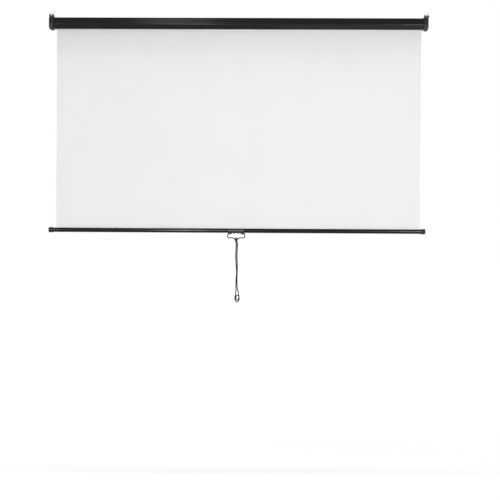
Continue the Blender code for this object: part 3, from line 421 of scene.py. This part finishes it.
def cloth_shape(place):
    """Moves a point of the flat sheet to where the hanging sheet has it."""
    down = place.z / CLOTH_BOTTOM
    slack = sin(pi * min(1, max(0, down)))
    wave = sin(2 * pi * place.x / LONG_WAVE + 0.9)
    wave += 0.5 * sin(2 * pi * place.x / SHORT_WAVE + 2.2 * down)
    y = place.y + WAVE_HEIGHT * slack * wave
    right = max(0, 1 - (CLOTH_RIGHT - place.x) / CURL_REACH)
    left = max(0, 1 - (place.x - CLOTH_LEFT) / CURL_REACH)
    y += EDGE_CURL * slack * (right ** 2 + 0.5 * left ** 2)
    pull = sin(pi * down ** 2.1)
    x = place.x - DRAWN_IN * pull * max(0, place.x / CLOTH_RIGHT) ** 3
    return Vector((x, y, place.z))


for vert in cloth.data.vertices:
    vert.co = cloth_shape(vert.co)
modify(cloth, "SOLIDIFY", thickness=CLOTH_THICKNESS, offset=0)
done(cloth, "housing", ["projection_fabric"], angle=60)
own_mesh(cloth)
print("Cloth, in mm:", round(width / MM, 1), "by", round(-CLOTH_BOTTOM / MM, 1))

# %% [markdown]
# ## The roll
# About two turns of the same cloth stay on the roller when the screen is down. The
# roll is a spiral, extruded along the roller, so its ends show the turns one over the other. A
# plain tube would be simpler, and its ends would look like a pipe's.

# %% Roll
ROLLER_AXIS = Vector((0, -27, 0)) * MM
ROLL_INNER = 12.85 * MM
ROLL_OUTER = 13.25 * MM
ROLL_TURNS = 1.9
TURN_STEPS = 56
# Thinner than the cloth, so that the turns stay apart
ROLL_SHEET = 0.18 * MM

turns = int(ROLL_TURNS * TURN_STEPS)
spiral = []
for step in range(turns + 1):
    angle = 2 * pi * step / TURN_STEPS
    radius = ROLL_INNER + (ROLL_OUTER - ROLL_INNER) * step / turns
    spiral.append(ROLLER_AXIS + Vector((0, radius * cos(angle), radius * sin(angle))))
roll = chain("wound_cloth", [point + Vector((CLOTH_LEFT, 0, 0)) for point in spiral])
bpy.ops.mesh.extrude_region_move(TRANSFORM_OT_translate={"value": (width, 0, 0)})
leave(roll)
modify(roll, "SOLIDIFY", thickness=ROLL_SHEET, offset=0)
done(roll, "roller", ["fabric_wrap"], angle=60)

# %% [markdown]
# ## The weight bar
# The bar is a painted steel tube with a slot along its top, where the cloth goes in. A cylinder
# without ends, turned along X, loses its top faces, and Solidify gives the rest its wall. A
# boolean could cut the slot out of a finished tube, but this way the mesh stays clean.

# %% Weight bar
BAR_CENTRE = Vector((-3.5, -13, -878.8)) * MM
BAR_RADIUS = 9.4 * MM
BAR_WALL = 1.2 * MM
SLOT_HALF = 1.5 * MM
# The tube ends inside the caps, just short of their sockets' floors
CAPPED_HALF = 803 * MM
CAP_REACH = 22 * MM
SOCKET_DEPTH = 14 * MM
SOCKET_CLEARANCE = 0.3 * MM


def open_tube(name, centre, radius, half, steps, cuts):
    """A cylinder along X without ends, cut along the planes y = cut that its slot needs."""
    bpy.ops.object.select_all(action="DESELECT")
    bpy.ops.mesh.primitive_cylinder_add(vertices=steps, radius=radius, depth=2 * half,
                                        end_fill_type="NOTHING", location=centre,
                                        rotation=(0, radians(90), 0))
    piece = bpy.context.object
    piece.name = name
    leave(piece)
    edit(piece)
    for place in cuts:
        bpy.ops.mesh.select_all(action="SELECT")
        bpy.ops.mesh.bisect(plane_co=(0, place, 0), plane_no=(0, 1, 0))
    return piece


y = BAR_CENTRE.y
bar_half = CAPPED_HALF - CAP_REACH + SOCKET_DEPTH - SOCKET_CLEARANCE
bar = open_tube("weight_bar_tube", BAR_CENTRE, BAR_RADIUS, bar_half, 96, (y - SLOT_HALF, y + SLOT_HALF))
pick(bar, "faces", lambda middle, face: middle.z > BAR_CENTRE.z and abs(middle.y - y) < SLOT_HALF)
bpy.ops.mesh.delete(type="FACE")
leave(bar)
modify(bar, "SOLIDIFY", thickness=BAR_WALL, offset=-1)
modify(bar, "BEVEL", width=0.25 * MM, segments=2, limit_method="ANGLE", angle_limit=radians(50))
done(bar, "weight_bar", ["bottom_bar"])

# %% [markdown]
# ## The bar's caps
# A cap is a turned-looking moulding: a domed head, a ring groove, a collar and a chamfered
# mouth. It is made as a turner would: the half outline is drawn as a chain of edges, and Spin
# takes it round the axis. Insets on a cylinder would do for a plain cap, but the groove and the
# dome are easier to read as one outline.


# %% Spinning an outline
def turned(name, outline, place, axis, steps):
    """Spins (along, radius) points round an axis through the place. Axis is X or Y."""
    along_axis = Vector((1, 0, 0)) if axis == "X" else Vector((0, 1, 0))
    points = [place + along_axis * along + Vector((0, 0, radius)) for along, radius in outline]
    piece = chain(name, points)
    bpy.ops.mesh.spin(steps=steps, angle=2 * pi, center=place, axis=along_axis)
    bpy.ops.mesh.select_all(action="SELECT")
    bpy.ops.mesh.remove_doubles(threshold=0.003 * MM)
    bpy.ops.mesh.normals_make_consistent(inside=False)
    leave(piece)
    print(name, "spun in", steps, "steps")
    return piece


# %% Bar caps
# An outline is in millimetres, and each of its points is (inset from the cap's tip, radius)
CAP_RADIUS = 11.4
CAP_DOME = 5
# The outline runs from the socket's floor out through the mouth, and back over the groove to the dome
CAP_BODY = ((8, 0), (8, 9.7), (22, 9.7), (22, 10.1), (21.7, 10.3), (19.5, 10.8), (18.9, 10.9),
            (14.35, 10.9), (14.2, 10.75), (14.2, 10.6), (13.0, 10.6), (13.0, 11.2), (12.75, 11.4),
            (9, 11.4))
CAP_STEPS = 72

dome = [(CAP_DOME * (1 - sin(radians(angle))), CAP_RADIUS * cos(radians(angle)))
        for angle in range(0, 91, 9)]
for side, sign in (("left", -1), ("right", 1)):
    end = BAR_CENTRE + Vector((sign * CAPPED_HALF, 0, 0))
    outline = [(-sign * inset * MM, radius * MM) for inset, radius in CAP_BODY + tuple(dome)]
    cap = turned("domed_cap_" + side, outline, end, "X", CAP_STEPS)
    done(cap, "weight_bar", ["bar_cap_" + side], angle=32)
    caps.append(cap)

# %% [markdown]
# ## The handle clip
# A piece of sheet hugs the bar from below. Its lower edge is curled into two lugs that hold the
# bail's ends, and between them it is cut into three arches. The sheet is a cylinder with its
# upper faces deleted, the lugs are two short tubes, and the arches are a flat outline that is
# filled and extruded. One solid could be cut to this shape too, but separate parts keep each
# form simple, and their joints are hidden where the real sheet is folded.

# %% Clip: the sheet round the bar
HANDLE_X = -4.5 * MM
CLIP_HALF = 33.5 * MM
CLIP_RADIUS = 10.7 * MM
CLIP_WALL = 1.0 * MM
CLIP_MOUTH = radians(100)
LUG_AXIS = Vector((-4.5, -13, -891.6)) * MM
LUG_LENGTH = 13 * MM
LUG_RADIUS = 3.0 * MM

clip_centre = Vector((HANDLE_X, BAR_CENTRE.y, BAR_CENTRE.z))
clip = open_tube("bar_clip", clip_centre, CLIP_RADIUS, CLIP_HALF, 108, ())
mouth_level = clip_centre.z + CLIP_RADIUS * cos(CLIP_MOUTH / 2)
pick(clip, "faces", lambda middle, face: middle.z > mouth_level)
bpy.ops.mesh.delete(type="FACE")
leave(clip)
modify(clip, "SOLIDIFY", thickness=CLIP_WALL, offset=-1)
print("Clip, in mm:", [round(size / MM, 1) for size in clip.dimensions])

# %% Clip: the lugs
parts = [clip]
for sign in (-1, 1):
    middle = LUG_AXIS + Vector((sign * (CLIP_HALF - LUG_LENGTH / 2), 0, 0))
    lug = open_tube("lug", middle, LUG_RADIUS, LUG_LENGTH / 2, 40, ())
    leave(lug)
    modify(lug, "SOLIDIFY", thickness=LUG_RADIUS - (WIRE_RADIUS + 0.2) * MM, offset=-1)
    parts.append(lug)
print("Lugs:", len(parts) - 1)

# %% Clip: the arches
SKIRT_LOW = -892.9 * MM
SKIRT_THICKNESS = 2 * MM
ARCH_RISE = 3.2 * MM
ARCH_STEPS = 16
TOOTH_PLACE = 8.6 * MM
TOOTH_HALF = 0.9 * MM
lug_inner = CLIP_HALF - LUG_LENGTH
spans = ((-lug_inner, -TOOTH_PLACE - TOOTH_HALF), (-TOOTH_PLACE + TOOTH_HALF, TOOTH_PLACE - TOOTH_HALF),
         (TOOTH_PLACE + TOOTH_HALF, lug_inner))
skirt_top = clip_centre.z - CLIP_RADIUS + CLIP_WALL / 2
outline = [(-lug_inner - CLIP_WALL, skirt_top), (-lug_inner - CLIP_WALL, SKIRT_LOW)]
for low, high in spans:
    for step in range(ARCH_STEPS + 1):
        angle = pi - pi * step / ARCH_STEPS
        outline.append(((low + high) / 2 + (high - low) / 2 * cos(angle),
                        SKIRT_LOW + ARCH_RISE * sin(angle)))
outline += [(lug_inner + CLIP_WALL, SKIRT_LOW), (lug_inner + CLIP_WALL, skirt_top)]
skirt_front = BAR_CENTRE.y - SKIRT_THICKNESS / 2
skirt = chain("skirt", [Vector((HANDLE_X + across, skirt_front, up)) for across, up in outline],
              closed=True)
bpy.ops.mesh.extrude_region_move(TRANSFORM_OT_translate={"value": (0, SKIRT_THICKNESS, 0)})
bpy.ops.mesh.select_all(action="SELECT")
bpy.ops.mesh.normals_make_consistent(inside=False)
leave(skirt)
parts.append(skirt)
print("Skirt arches:", len(spans))

# %% Clip: one piece
for part in parts:
    modify(part, "BEVEL", width=0.2 * MM, segments=2, limit_method="ANGLE", angle_limit=radians(50))
bpy.ops.object.select_all(action="DESELECT")
for part in parts:
    part.select_set(True)
bpy.context.view_layer.objects.active = clip
bpy.ops.object.join()
leave(clip)
done(clip, "weight_bar", ["handle_clip"])

# %% [markdown]
# ## The rivets
# Two domed rivets hold the clip from the rear. A squashed ball on a disc would come close, but
# an outline spun about an axis along Y also gives the shank and the thin lip under the head.

# %% Rivets
RIVET_PLACE = 20 * MM
RIVET_OUTLINE = ((6.4, 0), (7.0, 1.2), (10.8, 1.2), (10.8, 2.3), (11.0, 2.4), (11.5, 2.1),
                 (11.9, 1.4), (12.1, 0))
for side, sign in (("left", -1), ("right", 1)):
    place = clip_centre + Vector((sign * RIVET_PLACE, 0, 0))
    rivet = turned("domed_rivet_" + side, [(y * MM, radius * MM) for y, radius in RIVET_OUTLINE],
                   place, "Y", 32)
    done(rivet, "weight_bar", ["clip_rivet_" + side])

# %% [markdown]
# ## The bail
# The bail is one bent wire: its ends turn in the lugs, its sides hang down, and its lower run
# dips in the middle, where the cord is hitched. The bends are made as a wire bender makes them:
# straight lengths first, and then a radius at each corner, with a bevel that acts on vertices. A
# Bezier curve could be drawn by eye, but bent wire has straight runs and exact radii.

# %% Bail
SHOULDER = 36.1
BAIL_DROP = 17.6
# Each corner of the right half is (across, down, bending radius), from the lug to the middle
RIGHT_HALF = ((20.5, 0, 0), (SHOULDER, 0, 2.7), (SHOULDER, BAIL_DROP, 5), (DIP_HALF_WIDTH, BAIL_DROP, 6))
half = [(across, -down, radius) for across, down, radius in RIGHT_HALF]
bends = ([(-across, down, radius) for across, down, radius in half]
         + [(0, -BAIL_DROP - DIP_DEPTH, 4)] + half[::-1])
bail_corners = [LUG_AXIS + Vector((across, 0, down)) * MM for across, down, radius in bends]
bail = chain("wire_bail", bail_corners)
for index in range(1, len(bends) - 1):
    here = bail_corners[index]
    before = (bail_corners[index - 1] - here).normalized()
    after = (bail_corners[index + 1] - here).normalized()
    reach = bends[index][2] * MM / tan(before.angle(after) / 2)
    pick(bail, "verts", lambda middle, vert: (middle - here).length < SAME_PLACE)
    bpy.ops.mesh.bevel(affect="VERTICES", offset_type="OFFSET", offset=reach, segments=8)
leave(bail)
bpy.ops.object.convert(target="CURVE")
bail.data.bevel_depth = WIRE_RADIUS * MM
bail.data.bevel_resolution = 6
bail.data.use_fill_caps = True
bpy.ops.object.convert(target="MESH")
done(bail, "bail", ["pull_bail"], angle=50)

# %% [markdown]
# ## Colours and nodes
# A colour picked on a screen is an sRGB value, and shaders work in linear light, so one function
# turns the one into the other. A second function adds a node with its settings and links, and
# a third starts a material from typical values.


# %% Colours and nodes
def from_hex(code):
    """The linear colour of an sRGB hex code."""
    shares = [int(code[place:place + 2], 16) / 255 for place in (0, 2, 4)]
    linear = [share / 12.92 if share <= 0.04045 else ((share + 0.055) / 1.055) ** 2.4
              for share in shares]
    return (*linear, 1)


def add(tree, kind, inputs=(), **settings):
    """Adds a node. Settings are its own, and each input takes a value or another node's output."""
    node = tree.nodes.new("ShaderNode" + kind)
    for name, value in settings.items():
        setattr(node, name, value)
    for socket, value in dict(inputs).items():
        if isinstance(value, bpy.types.NodeSocket):
            tree.links.new(value, node.inputs[socket])
        else:
            node.inputs[socket].default_value = value
    return node


def start_material(name, **values):
    """A Principled material with the given values on its own sockets. Returns it and its tree."""
    material = bpy.data.materials.new(name)
    material.use_nodes = True
    shader = material.node_tree.nodes["Principled BSDF"]
    for socket, value in values.items():
        shader.inputs[socket.replace("_", " ")].default_value = value
    return material, material.node_tree, shader


def mottle(tree, where, size, low, high, detail=3):
    """A soft noise between two colours. Size is the real width of a patch in metres."""
    noise = add(tree, "TexNoise", {"Vector": where, "Scale": 1 / size, "Detail": detail})
    ramp = add(tree, "ValToRGB", {"Fac": noise.outputs["Fac"]})
    ramp.color_ramp.elements[0].position = 0.35
    ramp.color_ramp.elements[1].position = 0.65
    ramp.color_ramp.elements[0].color = low
    ramp.color_ramp.elements[1].color = high
    return ramp.outputs["Color"]


def wear(material, *pieces):
    """Gives pieces this material alone."""
    for piece in pieces:
        piece.data.materials.clear()
        piece.data.materials.append(material)
    print(material.name, "nodes:", len(material.node_tree.nodes), "pieces:", len(pieces))


print("Mid grey in linear light:", round(from_hex("808080")[0], 3))


# %% [markdown]
# ## Powder-coated steel
# The case and the bar are coated with black powder that melts in an oven. It gives the eye a
# deep satin black with a faint orange peel that breaks up every highlight. Real orange peel is
# about 1.5 mm across; it is drawn 4 mm across here, so that it shows at this distance. A picture
# of paint would need a UV map and a file, and noise on colour, gloss and bump needs neither.

# %% Powder-coated steel
ORANGE_PEEL = 4 * MM


def powder_coat(name, dark, light, roughness, gloss):
    """A coat of powder between two colours, whose gloss wanders a little and whose skin is dimpled."""
    material, tree, shader = start_material(name, IOR=1.5, Specular_IOR_Level=gloss)
    where = add(tree, "TexCoord").outputs["Object"]
    tree.links.new(mottle(tree, where, 0.06, from_hex(dark), from_hex(light)),
                   shader.inputs["Base Color"])
    patches = add(tree, "TexNoise", {"Vector": where, "Scale": 1 / 0.09, "Detail": 2})
    sheen = add(tree, "MapRange", {"Value": patches.outputs["Fac"], "To Min": roughness - 0.05,
                                   "To Max": roughness + 0.07})
    tree.links.new(sheen.outputs["Result"], shader.inputs["Roughness"])
    peel = add(tree, "TexNoise", {"Vector": where, "Scale": 1 / ORANGE_PEEL, "Detail": 2})
    bump = add(tree, "Bump", {"Height": peel.outputs["Fac"], "Strength": 0.12, "Distance": 0.15 * MM})
    tree.links.new(bump.outputs["Normal"], shader.inputs["Normal"])
    return material


wear(powder_coat("powder_coated_steel", "060606", "0c0c0c", 0.12, 0.17), case, bar)

# %% [markdown]
# ## Moulded ABS
# The caps are black ABS from a spark-eroded mould. The fine grain of the mould makes them a
# little greyer and duller than the paint. The grain is 0.3 mm on the real one, and drawn at
# 2.5 mm, where it still shows as a soft break in the light.

# %% Moulded ABS
SPARK_GRAIN = 2.5 * MM
abs_black, tree, shader = start_material("spark_textured_abs", IOR=1.53, Roughness=0.4,
                                         Specular_IOR_Level=0.2)
where = add(tree, "TexCoord").outputs["Object"]
tree.links.new(mottle(tree, where, 0.012, from_hex("121213"), from_hex("1b1b1c")),
               shader.inputs["Base Color"])
grain = add(tree, "TexNoise", {"Vector": where, "Scale": 1 / SPARK_GRAIN, "Detail": 4})
bump = add(tree, "Bump", {"Height": grain.outputs["Fac"], "Strength": 0.35, "Distance": 0.12 * MM})
tree.links.new(bump.outputs["Normal"], shader.inputs["Normal"])
wear(abs_black, *caps)

# %% [markdown]
# ## Vinyl-coated cloth
# A polyester weave carries a matt white vinyl coat. It scatters light evenly, with almost no
# gloss. Its threads lie 0.5 mm apart, far under a pixel, so the weave is drawn at 6 mm and
# very shallow, and a faint unevenness of the coat is laid over it in long upright patches.

# %% Vinyl-coated cloth
THREAD_SPACING = 6 * MM
COAT_PATCH = 0.12
cloth_white, tree, shader = start_material("vinyl_coated_weave", IOR=1.5, Roughness=0.85,
                                           Specular_IOR_Level=0.25)
where = add(tree, "TexCoord").outputs["Object"]
long_patches = add(tree, "Mapping", {"Vector": where, "Scale": (1, 1, 0.5)})
tree.links.new(mottle(tree, long_patches.outputs["Vector"], COAT_PATCH, from_hex("f4f4f4"),
                      from_hex("f5f5f5"), detail=2), shader.inputs["Base Color"])
warp = add(tree, "TexWave", {"Vector": where, "Scale": 0.05 * pi / THREAD_SPACING,
                             "Distortion": 0.0}, bands_direction="X")
weft = add(tree, "TexWave", {"Vector": where, "Scale": 0.05 * pi / THREAD_SPACING,
                             "Distortion": 0.0}, bands_direction="Z")
weave = add(tree, "Math", {0: warp.outputs["Fac"], 1: weft.outputs["Fac"]}, operation="MULTIPLY")
bump = add(tree, "Bump", {"Height": weave.outputs["Value"], "Strength": 0.12,
                          "Distance": 0.05 * MM})
tree.links.new(bump.outputs["Normal"], shader.inputs["Normal"])
wear(cloth_white, cloth, roll)

# %% [markdown]
# ## Steel: zinc plate and spring wire
# The screws, rivets, arbor, tube and pawls are zinc plated: a pale, slightly blue metal whose
# crystals make soft patches of more and less gloss. The spring is bare oiled steel, which is
# darker and smoother.


# %% Steel
def plated(name, low, high, roughness, patch):
    """A bright metal between two colours, with crystals of the patch size that change its gloss."""
    material, tree, shader = start_material(name, Metallic=1.0)
    where = add(tree, "TexCoord").outputs["Object"]
    tree.links.new(mottle(tree, where, patch, from_hex(low), from_hex(high)),
                   shader.inputs["Base Color"])
    spangle = add(tree, "TexVoronoi", {"Vector": where, "Scale": 1 / patch})
    gloss = add(tree, "MapRange", {"Value": spangle.outputs["Distance"], "To Min": roughness - 0.06,
                                   "To Max": roughness + 0.08})
    tree.links.new(gloss.outputs["Result"], shader.inputs["Roughness"])
    return material


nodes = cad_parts
zinc = plated("zinc_plated_steel", "b9bcc0", "cdd0d2", 0.36, 3 * MM)
wear(zinc, *[nodes[name] for name in nodes if name.startswith(("cap_screw", "pawl"))],
     nodes["spring_arbor"], nodes["roller_tube"], nodes["idler_pin"],
     bpy.data.objects["domed_rivet_left"], bpy.data.objects["domed_rivet_right"])
wear(plated("oiled_spring_steel", "6d6f73", "85878a", 0.3, 2 * MM), nodes["torsion_spring"])

# %% [markdown]
# ## Nylon
# The plugs in the roller and the rod in the cloth's hem are grey nylon: a little waxy, with a
# faint cloudiness, because nylon lets some light in under its surface.

# %% Nylon
nylon, tree, shader = start_material("moulded_grey_nylon", IOR=1.53, Roughness=0.42)
where = add(tree, "TexCoord").outputs["Object"]
tree.links.new(mottle(tree, where, 5 * MM, from_hex("9a9a98"), from_hex("a6a6a3")),
               shader.inputs["Base Color"])
wear(nylon, nodes["spring_plug"], nodes["idler_plug"], nodes["hem_rod"])

# %% [markdown]
# ## The clip's satin paint and the wire's coat
# The clip is painted a dark metallic grey, which catches more light than the bar it sits on.
# The wire has a thin black dip coat, smooth and a little glossy, so one soft line of light runs
# along it.

# %% Satin paint and dip coat
clip_paint = powder_coat("satin_grey_paint", "2a2a2a", "333333", 0.3, 0.25)
wear(clip_paint, clip)
wire_coat, tree, shader = start_material("dip_coated_wire", IOR=1.5, Roughness=0.3,
                                         Specular_IOR_Level=0.16)
where = add(tree, "TexCoord").outputs["Object"]
tree.links.new(mottle(tree, where, 6 * MM, from_hex("0c0c0d"), from_hex("151516")),
               shader.inputs["Base Color"])
drips = add(tree, "TexNoise", {"Vector": where, "Scale": 1 / (3 * MM), "Detail": 2})
bump = add(tree, "Bump", {"Height": drips.outputs["Fac"], "Strength": 0.2, "Distance": 0.1 * MM})
tree.links.new(bump.outputs["Normal"], shader.inputs["Normal"])
wear(wire_coat, bail)

# %% [markdown]
# ## Braided polyester
# The cord's eight bundles of black yarn cross one another in a braid. On the UV map, U runs
# along the cord and V round it, so two waves that climb in opposite directions draw the
# crossing bundles. The same waves raise the bundles as a bump and also colour them, with painted
# shade that darkens the grooves between the bundles. One braid repeat is 3 mm long; it is drawn
# 6 mm long, so that it shows. Every yarn could be a tube of its own, at many times the cost, and
# would look the same from here.

# %% Braided polyester
BRAID_REPEAT = 6 * MM
BUNDLES_ROUND = 4
braid, tree, shader = start_material("braided_polyester", IOR=1.5, Roughness=0.75,
                                     Specular_IOR_Level=0.1)
where = add(tree, "TexCoord").outputs["UV"]
axes = add(tree, "SeparateXYZ", {"Vector": where})
along = add(tree, "Math", {0: axes.outputs["X"], 1: 2 * pi * cord_length / BRAID_REPEAT},
            operation="MULTIPLY")
around = add(tree, "Math", {0: axes.outputs["Y"], 1: 2 * pi * BUNDLES_ROUND}, operation="MULTIPLY")
bundles = []
for operation in ("ADD", "SUBTRACT"):
    climb = add(tree, "Math", {0: along.outputs["Value"], 1: around.outputs["Value"]},
                operation=operation)
    bundles.append(add(tree, "Math", {0: climb.outputs["Value"]}, operation="SINE").outputs["Value"])
crossing = add(tree, "Math", {0: bundles[0], 1: bundles[1]}, operation="MAXIMUM").outputs["Value"]
# Painted shade: the black yarn is darker where the bundles dip into the grooves between them, and lighter
# on their crests
yarn_and_groove_shade = add(tree, "ValToRGB", {"Fac": crossing})
yarn_and_groove_shade.color_ramp.elements[0].color = from_hex("050505")
yarn_and_groove_shade.color_ramp.elements[1].color = from_hex("121212")
tree.links.new(yarn_and_groove_shade.outputs["Color"], shader.inputs["Base Color"])
bump = add(tree, "Bump", {"Height": crossing, "Strength": 0.6, "Distance": 0.15 * MM})
tree.links.new(bump.outputs["Normal"], shader.inputs["Normal"])
wear(braid, cord)

# %% [markdown]
# ## Floor and background
# The floor is a plain pale plane about a metre under the bar, and only a faint shadow of the
# screen lies on it. What the camera and the reflections see of the background is pure white,
# while the light that reaches the object stays at a level of its own, with the Light Path node.

# %% Floor
FLOOR_LEVEL = -1.93
# So wide that its far edge lies at the horizon
FLOOR_SIZE = 400


def seen_directly(tree):
    """1 for rays that show the background itself: from the camera, a reflection or through glass."""
    path = add(tree, "LightPath")
    both = add(tree, "Math", {0: path.outputs["Is Camera Ray"], 1: path.outputs["Is Glossy Ray"]},
               operation="MAXIMUM")
    return add(tree, "Math", {0: both.outputs["Value"], 1: path.outputs["Is Transmission Ray"]},
               operation="MAXIMUM").outputs["Value"]


bpy.ops.object.select_all(action="DESELECT")
bpy.ops.mesh.primitive_plane_add(size=FLOOR_SIZE, location=(0, 0, FLOOR_LEVEL))
floor = bpy.context.object
floor.name = "studio_floor"
floor_paint, tree, shader = start_material("pale_studio_floor", Roughness=0.9,
                                           Specular_IOR_Level=0.0)
shader.inputs["Base Color"].default_value = from_hex("e6e6e6")
shader.inputs["Emission Color"].default_value = from_hex("ffffff")
NEAR_LIFT = 0.405
FAR_LIFT = 0.75
GLOW_FROM = 1.5
GLOW_TO = 6.0
place = add(tree, "VectorMath", {"Vector": add(tree, "TexCoord").outputs["Object"]}, operation="LENGTH")
glow = add(tree, "MapRange", {"Value": place.outputs["Value"], "From Min": GLOW_FROM, "From Max": GLOW_TO,
                              "To Min": NEAR_LIFT, "To Max": FAR_LIFT})
lift = add(tree, "Math", {0: seen_directly(tree), 1: glow.outputs["Result"]}, operation="MULTIPLY")
tree.links.new(lift.outputs["Value"], shader.inputs["Emission Strength"])
wear(floor_paint, floor)

# %% World
AMBIENT = 0.4
world = bpy.data.worlds.new("white_studio")
bpy.context.scene.world = world
world.use_nodes = True
tree = world.node_tree
soft_light = tree.nodes["Background"]
soft_light.inputs["Color"].default_value = from_hex("ffffff")
soft_light.inputs["Strength"].default_value = AMBIENT
white = add(tree, "Background", {"Color": from_hex("ffffff"), "Strength": 1.0})
choice = add(tree, "MixShader", {0: seen_directly(tree), 1: soft_light.outputs["Background"],
                                 2: white.outputs["Background"]})
tree.links.new(choice.outputs["Shader"], tree.nodes["World Output"].inputs["Surface"])
print("World nodes:", len(tree.nodes))

# %% [markdown]
# ## Lights
# One large softbox in front lights the cloth, a little lower on the right, where it is lightest.
# Three narrow cards stand in front only to be mirrored: each draws one bright stretch along the
# round bar and the case's crease. A high and a low card are mirrored too, and give the case's
# sloping faces their dim sheen. A box overhead drops the faint shadow on the floor, and a weak
# one behind keeps the back readable.


# %% Lights
def softbox(name, place, aim, size, radiance, lights_matt=True, mirrored=True):
    """An area light of width and height size. Radiance is how bright its face is."""
    bpy.ops.object.select_all(action="DESELECT")
    bpy.ops.object.light_add(type="AREA", location=place)
    lamp = bpy.context.object
    lamp.name = name
    lamp.rotation_euler = (Vector(aim) - Vector(place)).to_track_quat("-Z", "Y").to_euler()
    lamp.data.shape = "RECTANGLE"
    lamp.data.size, lamp.data.size_y = size
    lamp.data.energy = radiance * pi * size[0] * size[1]
    lamp.visible_camera = False
    lamp.visible_diffuse = lights_matt
    lamp.visible_glossy = mirrored
    print(name, "watts:", round(lamp.data.energy, 1))


CARD_FROM_WALL = 4.5
CARD_LEVEL = -0.65
CARD_HEIGHT = 1.4
# Each narrow card is (name, across, width, radiance)
CARDS = (("far_left_card", -1.45, 0.3, 34.0), ("left_card", -0.47, 0.32, 54.0),
         ("right_card", 1.0, 0.32, 52.0))
for name, across, card_width, radiance in CARDS:
    softbox(name, (across, -CARD_FROM_WALL, CARD_LEVEL), (across, 0, CARD_LEVEL),
            (card_width, CARD_HEIGHT), radiance, lights_matt=False)
softbox("high_card", place=(-0.5, -2.6, 3.0), aim=(-0.3, 0, 0), size=(0.4, 3.0), radiance=2.5,
        lights_matt=False)
softbox("low_card", place=(0.9, -2.0, -1.3), aim=(0.5, 0, 0), size=(1.6, 0.8), radiance=0.7,
        lights_matt=False)
softbox("key_box", place=(0.8, -5.5, -1.5), aim=(0, 0, -0.5), size=(3.0, 2.0), radiance=9.8,
        mirrored=False)
softbox("overhead_box", place=(0, -0.3, 2.6), aim=(0, -0.3, 0), size=(3.5, 1.5), radiance=5.0,
        mirrored=False)
softbox("back_fill", place=(-2.0, 4.0, 1.0), aim=(0, 0, -0.5), size=(2.5, 1.5), radiance=1.0)
